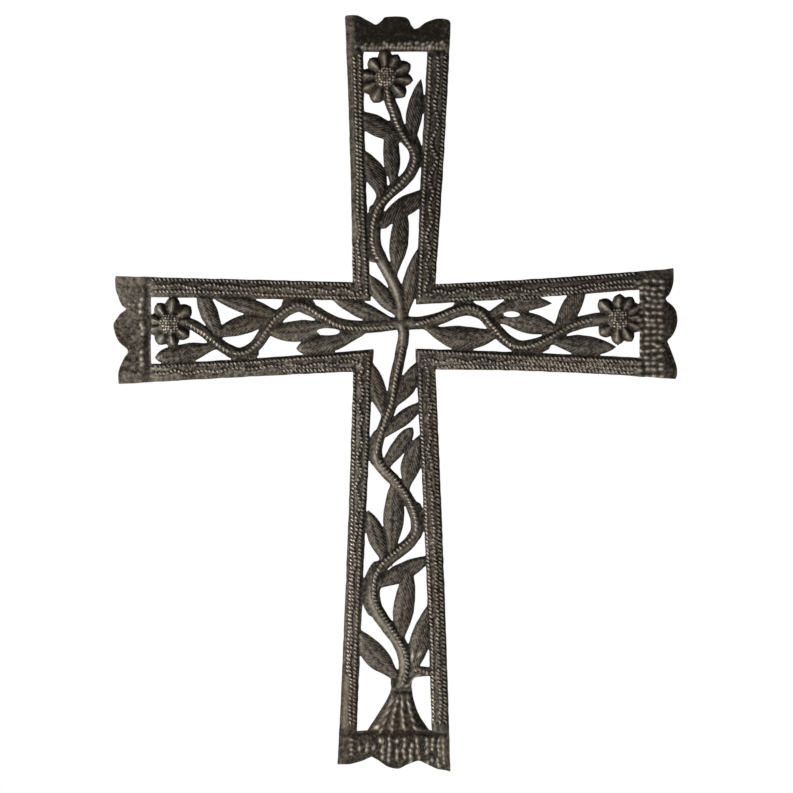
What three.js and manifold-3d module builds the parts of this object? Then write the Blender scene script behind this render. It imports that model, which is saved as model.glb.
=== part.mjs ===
import * as THREE from "three";
import { mergeVertices } from "three/addons/utils/BufferGeometryUtils.js";
import Module from "manifold-3d";

// A wall cross cut with a chisel from one steel sheet and hammered up from behind: four flared
// arms framed by flat bands, vine stems with leaves in their openings, a flower near three of the
// ends and a fluted root at the foot. All sizes are millimetres. +Z is up and the worked side
// faces -Y, so the back of the unraised sheet lies in the wall's plane, y = 0. The drawing below
// is measured from the middle of the crossing; the finished part is measured from the point on
// the back of the top end band where it hangs against the wall.

const wasm = await Module();
wasm.setup();

// The sheet, and how far each form is raised out of it.
const sheetThickness = 1.2;
const bandRise = 1.1;
const endRise = 0.9;
const stemRise = 2.7;
const leafRise = 2.4;
const webRise = 0.8;
const petalRise = 3;
const discRise = 4.2;
const rootRise = 2.8;

// Reach of each arm, from the middle of the crossing to the corners of its end.
const topReach = 238;
const bottomReach = 341;
const leftReach = 215;
const rightReach = 216;

// Depth of the solid band across each arm's end, and width of the bands along the arms.
const endBandDepth = 26;
const bandWidth = 15;

// The chisel cut of the long edges starts here, at the corners of the crossing.
const crossingHalf = 33;

// Vine and flowers.
const discRadius = 8;

// Where it hangs: a point on the back of the top end band, kept flat from this depth up.
const hangAcross = 0.7;
const hangDepth = 13;
const flatDepth = 21;

// Shortest and longest steps of the sheet's mesh.
const shortestStep = 1;
const edgeStep = 9;
const ridgeStep = 7.5;
const bandStep = 12;
const openStep = 11;

// Each arm has its width at the crossing, midway and at the end. The hand cut shows as the drift
// of its middle line and as the difference of each band from the plain band width, in the same
// three places. Each end is an edge of three lobes, given from the low side to the high side as
// the distance from the middle line and how far it stands past the reach.
// The vine below was laid out in a window of the length, reach and half widths given last, so it
// stretches with its arm.
const arms = {
  top: {
    way: [0, 1],
    side: [1, 0],
    reach: topReach,
    widths: [64.5, 73.2, 82.3],
    drift: [-0.3, 2, 2.7],
    lowBand: [-1.4, -3.1, -1.1],
    highBand: [-0.3, 2.3, 1.6],
    vineWindow: 212,
    vineReach: 238,
    vineRoom: [18.1, 22.0, 25.9],
    lobes: [
      [[-38.5, 0], [-37.4, 2.1], [-29, 2.2], [-20, -2], [-14.6, -4.9]],
      [[-14.6, -4.9], [-10, -2.2], [-6.2, 1.1], [8.4, 0.6], [13.4, -5.5], [17, -8]],
      [[17, -8], [25.4, -2.8], [35, 0], [42.6, -1.9], [44, -7]],
    ],
  },
  right: {
    way: [1, 0],
    side: [0, 1],
    reach: rightReach,
    widths: [66.6, 73.2, 85.9],
    drift: [-1.3, 0.2, 1.2],
    lowBand: [0.9, -0.7, 0.3],
    highBand: [0.2, -0.6, -0.8],
    vineWindow: 190,
    vineReach: 216,
    vineRoom: [17.75, 22.45, 28.2],
    lobes: [
      [[-41.7, 1.9], [-38.4, 3.1], [-32.5, 2.8], [-22.9, -0.2], [-15.2, -3.4], [-11.9, -4.3]],
      [[-11.9, -4.3], [-7.4, -0.2], [0.3, 3.2], [8.7, 2.8], [15.2, -0.7], [19.9, -5.5]],
      [[19.9, -5.5], [23.6, -2.5], [31.3, 0.1], [38, 0.6], [43.5, 0.4]],
    ],
  },
  bottom: {
    way: [0, -1],
    side: [1, 0],
    reach: bottomReach,
    widths: [63.8, 75.4, 87.4],
    drift: [-0.1, 0.5, -0.5],
    lowBand: [0.2, -1.6, -1],
    highBand: [0, -1.2, -1.4],
    vineWindow: 315,
    vineReach: 341,
    vineRoom: [16.8, 23.95, 29.9],
    lobes: [
      [[-43.8, -0.3], [-34.3, -0.6], [-26.5, -2.5], [-19.4, -5.5], [-17.3, -6.1]],
      [[-17.3, -6.1], [-12.8, -3.7], [-5.4, 1.3], [3.3, 3], [10.7, -0.4], [18.2, -3]],
      [[18.2, -3], [23.6, -1], [31.3, 2.6], [39.1, 4.3], [43.1, 5.3]],
    ],
  },
  left: {
    way: [-1, 0],
    side: [0, 1],
    reach: leftReach,
    widths: [69.7, 76.2, 84],
    drift: [-1.5, -2.5, -4],
    lowBand: [1.3, -1, -0.4],
    highBand: [-0.5, 0, 1.2],
    vineWindow: 189,
    vineReach: 215,
    vineRoom: [19.45, 23.8, 26.6],
    lobes: [
      [[-45.8, -0.9], [-40.2, -0.7], [-34.9, -1.3], [-25.9, -4.9], [-19.8, -8.2]],
      [[-19.8, -8.2], [-13.4, -1.9], [-5.1, 2.2], [1.2, 2.7], [8.1, -2.2], [12.2, -6.7]],
      [[12.2, -6.7], [15.2, -3.7], [24.2, 0.4], [33, 1.6], [37.6, 1.2]],
    ],
  },
};

// Stems, each as its half width at the start, midway and at the end, and the run of its middle.
const stems = [
  {
    halfWidths: [4.5, 4.9, 4.7],
    run: [
      [-5.2, 184], [-3.6, 174], [0, 165], [3.9, 153], [10, 143.6], [15.4, 136], [16.2, 127.5],
      [11.8, 117.2], [3.6, 108.9], [-4.6, 102], [-11, 94.7], [-14.2, 85], [-15.6, 73],
      [-14.6, 61], [-10.4, 51], [-4.6, 40.5], [-1, 33.5], [1.8, 27], [4, 19], [5.8, 2],
    ],
  },
  {
    halfWidths: [4.2, 5, 5],
    run: [
      [-168, 4.4], [-157, 0.5], [-147, -5.8], [-138, -13], [-130, -18.5], [-121, -22.2],
      [-113, -19.8], [-107, -15], [-101.2, -7], [-95.2, 0.4], [-89.6, 6.8], [-82.6, 12.4],
      [-74.1, 15.2], [-66, 12.4], [-57, 7.4], [-48, 2.6], [-38, -0.6], [-26, -1.6],
      [-12, -0.4], [6, 1.7],
    ],
  },
  {
    halfWidths: [5.3, 4.9, 5.2],
    run: [
      [166, 4.8], [153, 3.8], [140, 0.6], [131.5, -3], [122, -9.2], [113, -14], [100, -16.6],
      [91.4, -14.6], [85, -10], [79.4, -4], [73.8, 2.8], [67, 9.5], [57, 12.2], [47, 10.2],
      [35, 5.3], [22, 1.9], [6, 1.8],
    ],
  },
  {
    halfWidths: [4.4, 4.6, 5],
    run: [
      [5.5, 2], [7, -8], [5, -20.6], [2.5, -32.5], [0, -45], [-1.4, -57], [-4.4, -68],
      [-8.2, -78.5], [-12.2, -88.5], [-14, -98], [-12.5, -106.5], [-7, -113.6], [0, -120.6],
      [7, -130], [10.8, -135.2], [14, -141.4], [16.8, -151], [17.2, -158], [14.8, -164.4],
      [10.2, -170], [3.4, -175.8], [-3.6, -181], [-9.6, -186.6], [-13.8, -192.8], [-16, -201],
    ],
  },
  {
    halfWidths: [5.4, 5.5, 5.6],
    run: [
      [-13.4, -192.5], [-15.8, -201], [-16.6, -210], [-14.6, -219], [-9.4, -228.4],
      [-2.4, -237.2], [3.6, -246], [7.4, -254.6], [8.6, -264], [7.4, -274], [5.6, -286],
    ],
  },
];

// Leaves: where the stalk leaves the stem, the bend, the tip, the half width and the stalk's
// share of it.
const leaves = [
  // Top arm
  [[12.6, 140], [14.4, 162], [20.4, 190.3], 6.4, 0.5],
  [[2, 147], [-12, 153], [-34, 165], 8, 0.7],
  [[-0.8, 107], [-1.6, 128], [-4.2, 158], 6.6, 0.4],
  [[-10, 100], [-11, 116.6], [-30, 137], 8.2, 0.52],
  [[-8.6, 79.4], [4.6, 93], [33, 104.2], 7.6, 0.62],
  [[-0.4, 36], [3.6, 64], [7, 95], 7.3, 0.3],
  [[8.6, 8], [11.4, 31], [21, 62], 6.6, 0.38],
  [[4, 7], [-9, 22], [-24, 41], 6.7, 0.36],
  // Left arm
  [[-140, -16], [-160, -22.8], [-185.6, -25.2], 7.6, 0.42],
  [[-136.8, -6], [-144, 8], [-152.2, 32], 6.9, 0.7],
  [[-93, 7.4], [-111, 14.6], [-143, 23.4], 6.5, 0.72],
  [[-95, 4], [-115, 3.2], [-141.5, -8.8], 7.5, 0.46],
  [[-51, 1], [-72, -7.4], [-101, -4.4], 8.4, 0.5],
  [[-27, -5], [-50, -16], [-76.2, -18.2], 7.4, 0.55],
  [[-2, 3.2], [-23, 9], [-52, 25], 6.6, 0.45],
  // Right arm
  [[24, -1], [49, -16.4], [82, -6], 9.3, 0.3],
  [[75, 7.5], [91, 19], [122, 16.8], 6.6, 0.5],
  [[80, 3.6], [103, 4.2], [128, -5], 8.2, 0.32],
  [[125.6, -5], [135.9, 9.6], [147.8, 36], 7.5, 0.5],
  [[117, -11], [146, -16.6], [171.5, -17], 7.4, 0.25],
  // Bottom arm
  [[-7.4, -72], [-13.2, -50], [-22, -25], 7.3, 0.32],
  [[0, -62], [8.8, -49.6], [22, -26], 7, 0.36],
  [[-7, -84], [4.6, -73.4], [24, -59], 5.8, 0.55],
  [[-7.6, -109.8], [2.6, -95.6], [14, -79.4], 5.9, 0.62],
  [[9, -128], [11, -110], [20, -85], 7.7, 0.32],
  [[-7.6, -182], [-13.2, -166], [-20.6, -143.6], 7.2, 0.48],
  [[-2.4, -178], [-0.8, -151], [2, -112], 8.1, 0.38],
  [[-13, -201.4], [2, -194], [29, -179.4], 7.3, 0.45],
  [[3.6, -246], [6.2, -224], [12.4, -185], 8.2, 0.4],
  [[13, -268], [18.4, -250], [28.6, -215], 8, 0.6],
  [[0, -271], [-11.6, -260.6], [-36, -233], 9.2, 0.46],
  [[8, -272.6], [15, -265.6], [36, -270.6], 4.3, 0.9],
];

// Webs: where a stem runs along a band, the sheet between them was left in. Each has its start,
// bend, end and half width.
const webs = [
  [[-16, 90], [-19.5, 72], [-16, 52], 3.6],
  [[15, 145], [21.8, 134], [15, 122], 3.2],
  [[-128, -22], [-118, -27], [-108, -22], 3],
  [[-84, 16], [-74, 21.5], [-65, 16], 3.6],
  [[49, 14.4], [55, 19.4], [60, 14.4], 3.6],
  [[93, -16.4], [104, -22], [117, -16.4], 3.4],
  [[17, -140], [21.5, -152], [17, -164], 3.5],
  [[-13.6, -85], [-19.4, -95.6], [-15.4, -105], 3.6],
  [[-12.4, -185], [-22.6, -203.6], [-17, -220], 5],
  [[72, 6], [77, 9.2], [83, 12], 3],
];

// Small openings between two leaves: the middle, half the length and half the width.
const slits = [
  { middle: [90.6, 8.3], halfLength: 6.7, halfWidth: 2.2 },
  { middle: [-51.4, -5.1], halfLength: 9.4, halfWidth: 2.7 },
];

// Flowers: the middle of the disc, then each petal's angle, reach and half width.
const flowers = [
  {
    middle: [-6.5, 192],
    petals: [
      [93, 22.5, 5.7], [63, 20, 5.2], [29, 21.6, 6], [-6, 21, 5.2], [-46, 21, 6],
      [-117, 22, 6.3], [-152, 21.4, 6], [173, 20, 5.4], [131, 19.6, 5.8],
    ],
  },
  {
    middle: [-174.6, 1.2],
    petals: [
      [80, 21.5, 5.8], [38, 21.2, 6.4], [-35, 18.6, 5.8], [-80, 19, 5.6], [-117, 18.4, 5.7],
      [-162, 17, 5.8], [167, 16, 5.8], [121, 18.4, 5.4],
    ],
  },
  {
    middle: [173.5, 4.8],
    petals: [
      [135, 20.8, 6], [86, 19.4, 5.4], [57, 20.2, 5.4], [30, 20.4, 5.6], [7, 21, 5.4],
      [-22, 20.2, 5.4], [-59, 20.4, 5.4], [-91, 20.2, 5.4], [-138, 19.2, 5.8],
    ],
  },
];

// The root: its two sides from the neck down to the end band, and its flutes.
const root = {
  leftSide: [[-1.6, -269], [-2.8, -277], [-2.6, -282], [-6.9, -292], [-16.4, -306.9], [-24, -319]],
  rightSide: [[15, -270], [13.6, -277], [13.5, -283], [16.1, -294.4], [21.5, -306.3], [31, -319]],
  firstFlute: 0.17,
  fluteSpacing: 0.22,
};

// Value of a hand-cut size at a share of the arm's length, from its three stated places.
function between([atCrossing, midway, atEnd], share) {
  const nearCrossing = atCrossing * (1 - share) * (1 - 2 * share);
  const nearMiddle = midway * 4 * share * (1 - share);
  const nearEnd = atEnd * share * (2 * share - 1);
  return nearCrossing + nearMiddle + nearEnd;
}

function shareAlong(arm, along) {
  return (along - crossingHalf) / (arm.reach - crossingHalf);
}

// Distance of an arm's outer edge from its middle line; side is -1 for low, 1 for high.
function outerEdge(arm, side, along) {
  const share = shareAlong(arm, along);
  return between(arm.widths, share) / 2 + side * between(arm.drift, share);
}

function bandAt(arm, side, along) {
  const handCut = side < 0 ? arm.lowBand : arm.highBand;
  return bandWidth + between(handCut, shareAlong(arm, along));
}

function innerEdge(arm, side, along) {
  return outerEdge(arm, side, along) - bandAt(arm, side, along);
}

function windowEnd(arm) {
  return arm.reach - endBandDepth;
}

function spot(arm, along, across) {
  const x = arm.way[0] * along + arm.side[0] * across;
  const z = arm.way[1] * along + arm.side[1] * across;
  return new THREE.Vector2(x, z);
}

function armOf(x, z) {
  if (Math.abs(z) > Math.abs(x)) return z > 0 ? arms.top : arms.bottom;
  return x > 0 ? arms.right : arms.left;
}

// Distances along and across the arm that holds a point.
function inArm(arm, x, z) {
  const along = x * arm.way[0] + z * arm.way[1];
  const across = x * arm.side[0] + z * arm.side[1];
  return [along, across];
}

// Moves a point of the drawing so that it keeps its place in a window of another size.
function place([x, z]) {
  const arm = armOf(x, z);
  const [along, across] = inArm(arm, x, z);
  const drawnShare = (along - crossingHalf) / (arm.vineWindow - crossingHalf);
  const beyond = Math.max(0, drawnShare);
  const stretched = crossingHalf + beyond * (windowEnd(arm) - crossingHalf);
  const moved = along > crossingHalf ? stretched : along;
  const drawnRoom = between(arm.vineRoom, (along - crossingHalf) / (arm.vineReach - crossingHalf));
  const room = (innerEdge(arm, -1, moved) + innerEdge(arm, 1, moved)) / 2;
  return spot(arm, moved, across * (room / drawnRoom));
}

const armRing = [
  { arm: arms.top, first: -1 },
  { arm: arms.right, first: 1 },
  { arm: arms.bottom, first: 1 },
  { arm: arms.left, first: -1 },
];

// Corner where an arm's edge meets the edge of the next arm round the crossing.
function crossingCorner(edge, arm, side, next, nextSide, along) {
  const own = edge(arm, side, along);
  const other = edge(next, nextSide, along);
  return spot(arm, other, side * own);
}

// Drops points that repeat the one before them round an outline.
function distinct(points) {
  return points.filter((point, index) => point.distanceTo(points.at(index - 1)) > 0.01);
}

function lobedEnd(arm) {
  const low = outerEdge(arm, -1, arm.reach);
  const high = outerEdge(arm, 1, arm.reach);
  const drawnLow = -arm.lobes[0][0][0];
  const drawnHigh = arm.lobes[2].at(-1)[0];
  const points = [];
  for (const lobe of arm.lobes) {
    const placed = lobe.map(([across, past]) => {
      const stretch = across < 0 ? low / drawnLow : high / drawnHigh;
      return spot(arm, arm.reach + past, across * stretch);
    });
    const curve = new THREE.SplineCurve(placed);
    points.push(...curve.getPoints(2 * placed.length));
  }
  return points;
}

function frameShape() {
  const outline = [];
  const opening = [];
  const edgeCuts = 8;
  armRing.forEach(({ arm, first }, index) => {
    const before = armRing[(index + 3) % 4];
    const start = crossingCorner(outerEdge, arm, first, before.arm, -before.first, crossingHalf);
    outline.push(start);
    for (let cut = 1; cut < edgeCuts; cut += 1) {
      const along = THREE.MathUtils.lerp(crossingHalf, arm.reach, cut / edgeCuts);
      outline.push(spot(arm, along, first * outerEdge(arm, first, along)));
    }
    const end = lobedEnd(arm);
    outline.push(...(first < 0 ? end : end.reverse()));
    for (let cut = edgeCuts - 1; cut > 0; cut -= 1) {
      const along = THREE.MathUtils.lerp(crossingHalf, arm.reach, cut / edgeCuts);
      outline.push(spot(arm, along, -first * outerEdge(arm, -first, along)));
    }

    const inner = crossingHalf - bandWidth;
    opening.push(crossingCorner(innerEdge, arm, first, before.arm, -before.first, inner));
    for (let cut = 1; cut <= edgeCuts; cut += 1) {
      const along = THREE.MathUtils.lerp(inner, windowEnd(arm), cut / edgeCuts);
      opening.push(spot(arm, along, first * innerEdge(arm, first, along)));
    }
    for (let cut = edgeCuts; cut > 0; cut -= 1) {
      const along = THREE.MathUtils.lerp(inner, windowEnd(arm), cut / edgeCuts);
      opening.push(spot(arm, along, -first * innerEdge(arm, -first, along)));
    }
  });
  const shape = new THREE.Shape(distinct(outline));
  shape.holes.push(new THREE.Path(distinct(opening).reverse()));
  return shape;
}

// A ridge is the middle line of a stem, a leaf or a petal, with its half width at each point.
function ridgeOutline({ middle, halfWidths }) {
  const lowSide = [];
  const highSide = [];
  middle.forEach((point, index) => {
    const from = middle[Math.max(0, index - 1)];
    const to = middle[Math.min(middle.length - 1, index + 1)];
    const out = new THREE.Vector2(from.y - to.y, to.x - from.x).setLength(halfWidths[index]);
    highSide.push(point.clone().add(out));
    lowSide.unshift(point.clone().sub(out));
  });
  return new THREE.Shape([...highSide, ...lowSide]);
}

function stemRidge({ halfWidths, run }) {
  const curve = new THREE.SplineCurve(run.map(place));
  const steps = Math.round(curve.getLength() / ridgeStep);
  const middle = curve.getSpacedPoints(steps);
  const widths = middle.map((point, index) => between(halfWidths, index / steps));
  return { middle, halfWidths: widths, rise: stemRise };
}

// Half width of a leaf at a share of its length: a stalk, a full middle and a pointed tip.
const fullest = 0.48;
const leastTip = 0.3;
function leafProfile(share, halfWidth, stalkShare, tipPower) {
  if (share < fullest) {
    const grown = THREE.MathUtils.smoothstep(share, 0, fullest);
    return halfWidth * (stalkShare + (1 - stalkShare) * grown);
  }
  const towardTip = (share - fullest) / (1 - fullest);
  return Math.max(leastTip, halfWidth * (1 - towardTip ** tipPower) ** 0.8);
}

function leafRidge([base, bend, tip, halfWidth, stalkShare]) {
  const curve = new THREE.QuadraticBezierCurve(place(base), place(bend), place(tip));
  const steps = 9;
  const middle = curve.getSpacedPoints(steps);
  const halfWidths = middle.map((point, index) =>
    leafProfile(index / steps, halfWidth, stalkShare, 2.2));
  return { middle, halfWidths, rise: leafRise };
}

function webRidge([start, bend, end, halfWidth]) {
  const curve = new THREE.QuadraticBezierCurve(place(start), place(bend), place(end));
  const middle = curve.getSpacedPoints(6);
  return { middle, halfWidths: middle.map(() => halfWidth), rise: webRise };
}

function petalRidge(centre, [angle, reach, halfWidth]) {
  const way = THREE.MathUtils.degToRad(angle);
  const out = new THREE.Vector2(Math.cos(way), Math.sin(way));
  const steps = 6;
  const middle = [];
  const halfWidths = [];
  for (let step = 0; step <= steps; step += 1) {
    const share = step / steps;
    const distance = THREE.MathUtils.lerp(discRadius * 0.6, reach, share);
    middle.push(centre.clone().addScaledVector(out, distance));
    halfWidths.push(leafProfile(share, halfWidth, 0.7, 3.2));
  }
  return { middle, halfWidths, rise: petalRise };
}

const rootCurves = {
  left: new THREE.SplineCurve(root.leftSide.map(place)),
  right: new THREE.SplineCurve(root.rightSide.map(place)),
};

function rootShape() {
  const steps = 14;
  const left = rootCurves.left.getSpacedPoints(steps);
  const right = rootCurves.right.getSpacedPoints(steps);
  return new THREE.Shape([...left, ...right.reverse()]);
}

// Depth of the flat blank that the outline is cut from before it is hammered.
const blankDepth = 1;

function solidOf(shape) {
  const geometry = new THREE.ExtrudeGeometry(shape, { depth: blankDepth, bevelEnabled: false });
  geometry.deleteAttribute("normal");
  geometry.deleteAttribute("uv");
  const welded = mergeVertices(geometry, 1e-4);
  const vertProperties = welded.attributes.position.array;
  const triVerts = new Uint32Array(welded.index.array);
  return new wasm.Manifold(new wasm.Mesh({ numProp: 3, vertProperties, triVerts }));
}

const discs = flowers.map(({ middle }) => place(middle));
const ridges = [
  ...stems.map(stemRidge),
  ...leaves.map(leafRidge),
  ...webs.map(webRidge),
  ...flowers.flatMap(({ petals }, index) => petals.map((petal) => petalRidge(discs[index], petal))),
];

function cutBlank() {
  let blank = solidOf(frameShape());
  for (const ridge of ridges) {
    blank = blank.add(solidOf(ridgeOutline(ridge)));
  }
  for (const centre of discs) {
    const disc = new THREE.Shape().absarc(centre.x, centre.y, discRadius, 0, 2 * Math.PI);
    blank = blank.add(solidOf(disc));
  }
  blank = blank.add(solidOf(rootShape()));
  for (const { middle, halfLength, halfWidth } of slits) {
    const { x, y } = place(middle);
    const slit = new THREE.Shape().absellipse(x, y, halfLength, halfWidth, 0, 2 * Math.PI);
    blank = blank.subtract(solidOf(slit));
  }
  return blank;
}

// Follows the open edges of the blank's front face into closed loops.
function loopsOf(blank) {
  const mesh = blank.getMesh();
  const corner = (vertex) => {
    const at = vertex * mesh.numProp;
    return mesh.vertProperties.subarray(at, at + 3);
  };
  const next = new Map();
  const halfEdges = new Set();
  const front = [];
  for (let face = 0; face < mesh.triVerts.length; face += 3) {
    const triangle = Array.from(mesh.triVerts.subarray(face, face + 3));
    if (triangle.every((vertex) => corner(vertex)[2] > blankDepth / 2)) front.push(triangle);
  }
  for (const [a, b, c] of front) {
    halfEdges.add(`${a},${b}`).add(`${b},${c}`).add(`${c},${a}`);
  }
  for (const halfEdge of halfEdges) {
    const [a, b] = halfEdge.split(",").map(Number);
    if (!halfEdges.has(`${b},${a}`)) next.set(a, b);
  }
  const loops = [];
  while (next.size) {
    const loop = [];
    let vertex = next.keys().next().value;
    while (next.has(vertex)) {
      const following = next.get(vertex);
      next.delete(vertex);
      const [x, z] = corner(vertex);
      loop.push(new THREE.Vector2(x, z));
      vertex = following;
    }
    loops.push(loop);
  }
  return loops;
}

// Leaves out, one by one, the point that shapes a loop least, as long as it stands closer to the
// next than the shortest step or lies on a straight edge. Then divides what is too long.
const straightWithin = 0.06;
function evenLoop(loop) {
  const points = [...loop];
  const bulgeAt = (index) => {
    const before = points.at(index - 1);
    const after = points[(index + 1) % points.length];
    const chord = after.clone().sub(before);
    return Math.abs(chord.cross(points[index].clone().sub(before))) / (chord.length() || 1);
  };
  const crowdedAt = (index) => {
    const toBefore = points[index].distanceTo(points.at(index - 1));
    const toAfter = points[index].distanceTo(points[(index + 1) % points.length]);
    return Math.min(toBefore, toAfter) < shortestStep;
  };
  while (points.length > 3) {
    let least = -1;
    let leastBulge = Infinity;
    for (let index = 0; index < points.length; index += 1) {
      const bulge = bulgeAt(index);
      if (bulge > straightWithin && !crowdedAt(index)) continue;
      if (bulge < leastBulge) [least, leastBulge] = [index, bulge];
    }
    if (least < 0) break;
    points.splice(least, 1);
  }
  return points.flatMap((point, index) => {
    const after = points[(index + 1) % points.length];
    const pieces = Math.ceil(point.distanceTo(after) / edgeStep);
    return Array.from({ length: pieces }, (unused, piece) =>
      point.clone().lerp(after, piece / pieces));
  });
}

function turn(a, b, c) {
  return (b.x - a.x) * (c.y - a.y) - (b.y - a.y) * (c.x - a.x);
}

// Whether d lies inside the circle through a, b and c.
function inCircle(a, b, c, d) {
  const [ax, ay, bx, by] = [a.x - d.x, a.y - d.y, b.x - d.x, b.y - d.y];
  const [cx, cy] = [c.x - d.x, c.y - d.y];
  const aa = ax * ax + ay * ay;
  const bb = bx * bx + by * by;
  const cc = cx * cx + cy * cy;
  return aa * (bx * cy - by * cx) - bb * (ax * cy - ay * cx) + cc * (ax * by - ay * bx) > 1e-7;
}

// Turns the edge shared by two triangles wherever the other way round gives fuller triangles.
function settle(points, triangles) {
  for (let round = 0; round < 60; round += 1) {
    const owner = new Map();
    triangles.forEach((triangle, index) => {
      triangle.forEach((a, corner) => owner.set(`${a},${triangle[(corner + 1) % 3]}`, index));
    });
    const touched = new Set();
    for (const [halfEdge, index] of owner) {
      const [a, b] = halfEdge.split(",").map(Number);
      const twin = owner.get(`${b},${a}`);
      if (twin === undefined || touched.has(index) || touched.has(twin)) continue;
      const c = triangles[index].find((vertex) => vertex !== a && vertex !== b);
      const d = triangles[twin].find((vertex) => vertex !== a && vertex !== b);
      const [pa, pb, pc, pd] = [points[a], points[b], points[c], points[d]];
      if (!inCircle(pa, pb, pc, pd)) continue;
      if (turn(pa, pd, pc) <= 1e-9 || turn(pd, pb, pc) <= 1e-9) continue;
      triangles[index] = [a, d, c];
      triangles[twin] = [d, b, c];
      touched.add(index).add(twin);
    }
    if (!touched.size) return;
  }
}

// Adds an inner point by splitting the triangle that holds it, unless it crowds another.
function addPoint(points, triangles, point, room) {
  const holder = triangles.findIndex(([a, b, c]) =>
    turn(points[a], points[b], point) > 0 &&
    turn(points[b], points[c], point) > 0 &&
    turn(points[c], points[a], point) > 0);
  if (holder < 0) return;
  if (points.some((other) => other.distanceTo(point) < room)) return;
  const [a, b, c] = triangles[holder];
  const added = points.push(point) - 1;
  triangles[holder] = [a, b, added];
  triangles.push([b, c, added], [c, a, added]);
}

function distanceToEdge(point, a, b) {
  const along = b.clone().sub(a);
  const share = THREE.MathUtils.clamp(point.clone().sub(a).dot(along) / along.lengthSq(), 0, 1);
  return a.clone().addScaledVector(along, share).distanceTo(point);
}

// Points that the relief needs: along every ridge, across the bands and on discs and root.
function reliefPoints() {
  const wanted = [];
  for (const centre of discs) {
    wanted.push(centre.clone());
    for (let step = 0; step < 8; step += 1) {
      const way = (step / 8) * 2 * Math.PI;
      const out = new THREE.Vector2(Math.cos(way), Math.sin(way));
      wanted.push(centre.clone().addScaledVector(out, discRadius * 0.62));
    }
  }
  for (const { middle } of ridges) {
    wanted.push(...middle.slice(1, -1));
  }
  for (let row = 1; row <= 6; row += 1) {
    for (let flute = 0; flute < 7; flute += 1) {
      const across = root.firstFlute + (flute * root.fluteSpacing) / 2;
      const left = rootCurves.left.getPointAt(0.3 + row / 10);
      const right = rootCurves.right.getPointAt(0.3 + row / 10);
      wanted.push(left.lerp(right, across));
    }
  }
  for (const { arm } of armRing) {
    for (let along = crossingHalf - bandWidth; along < arm.reach - 4; along += bandStep) {
      for (const side of [-1, 1]) {
        for (const share of [0.3, 0.7]) {
          const outer = outerEdge(arm, side, along);
          const across = outer - share * bandAt(arm, side, along);
          wanted.push(spot(arm, along, side * across));
        }
      }
    }
    for (let row = 0.25; row < 1; row += 0.3) {
      const along = windowEnd(arm) + row * endBandDepth;
      for (let across = -3; across <= 3; across += 1) {
        wanted.push(spot(arm, along, across * bandStep));
      }
    }
  }
  return wanted;
}

function sheetMesh(blank) {
  const loops = loopsOf(blank)
    .map(evenLoop)
    .filter((loop) => Math.abs(THREE.ShapeUtils.area(loop)) > 4)
    .sort((a, b) => Math.abs(THREE.ShapeUtils.area(b)) - Math.abs(THREE.ShapeUtils.area(a)));
  const [contour, ...holes] = loops;
  if (THREE.ShapeUtils.area(contour) < 0) contour.reverse();
  for (const hole of holes) {
    if (THREE.ShapeUtils.area(hole) > 0) hole.reverse();
  }
  const triangles = THREE.ShapeUtils.triangulateShape(contour, holes);
  const points = [contour, ...holes].flat();
  const rim = [contour, ...holes].flatMap((loop) =>
    loop.map((point, index) => [point, loop[(index + 1) % loop.length]]));
  settle(points, triangles);
  for (const wanted of reliefPoints()) {
    const clear = rim.every(([a, b]) => distanceToEdge(wanted, a, b) > 1.3);
    if (clear) addPoint(points, triangles, wanted, 2.2);
  }
  settle(points, triangles);
  for (let round = 0; round < 2; round += 1) {
    const middles = [];
    for (const triangle of triangles) {
      triangle.forEach((a, corner) => {
        const b = triangle[(corner + 1) % 3];
        const long = points[a].distanceTo(points[b]) > openStep;
        if (long && a < b) middles.push(points[a].clone().lerp(points[b], 0.5));
      });
    }
    for (const middle of middles) {
      const clear = rim.every(([a, b]) => distanceToEdge(middle, a, b) > 1.3);
      if (clear) addPoint(points, triangles, middle, 4);
    }
    settle(points, triangles);
  }
  return { points, triangles };
}

// Height of a ridge over a point: a rounded back that falls to nothing at the edges.
function ridgeHeight({ middle, halfWidths, rise }, point) {
  let best = 0;
  for (let index = 0; index < middle.length - 1; index += 1) {
    const a = middle[index];
    const along = middle[index + 1].clone().sub(a);
    const reached = point.clone().sub(a).dot(along) / along.lengthSq();
    const share = THREE.MathUtils.clamp(reached, 0, 1);
    const halfWidth = THREE.MathUtils.lerp(halfWidths[index], halfWidths[index + 1], share);
    const distance = a.clone().addScaledVector(along, share).distanceTo(point) / halfWidth;
    if (distance >= 1) continue;
    const slimness = Math.min(1, halfWidth / (rise * 1.6));
    best = Math.max(best, rise * slimness * (1 - distance ** 2));
  }
  return best;
}

function bandHeight(point) {
  const arm = armOf(point.x, point.y);
  const [along, across] = inArm(arm, point.x, point.y);
  const side = across < 0 ? -1 : 1;
  const outer = outerEdge(arm, side, along);
  const share = (outer - Math.abs(across)) / bandAt(arm, side, along);
  const depth = arm.reach - along;
  const fade = THREE.MathUtils.smoothstep(depth, flatDepth, flatDepth + 8);
  if (share <= 0 || share >= 1) return 0;
  return bandRise * fade * (1 - (2 * share - 1) ** 4);
}

// The end bands swell a little, all but the top one, which stays flat against the wall.
function endHeight(point) {
  const arm = armOf(point.x, point.y);
  if (arm === arms.top) return 0;
  const [along, across] = inArm(arm, point.x, point.y);
  const share = (arm.reach - along) / endBandDepth;
  const side = across < 0 ? -1 : 1;
  const sideShare = across / outerEdge(arm, side, along);
  if (share <= 0 || share >= 1 || Math.abs(sideShare) >= 1) return 0;
  return endRise * (1 - (2 * share - 1) ** 4) * (1 - sideShare ** 8);
}

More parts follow.
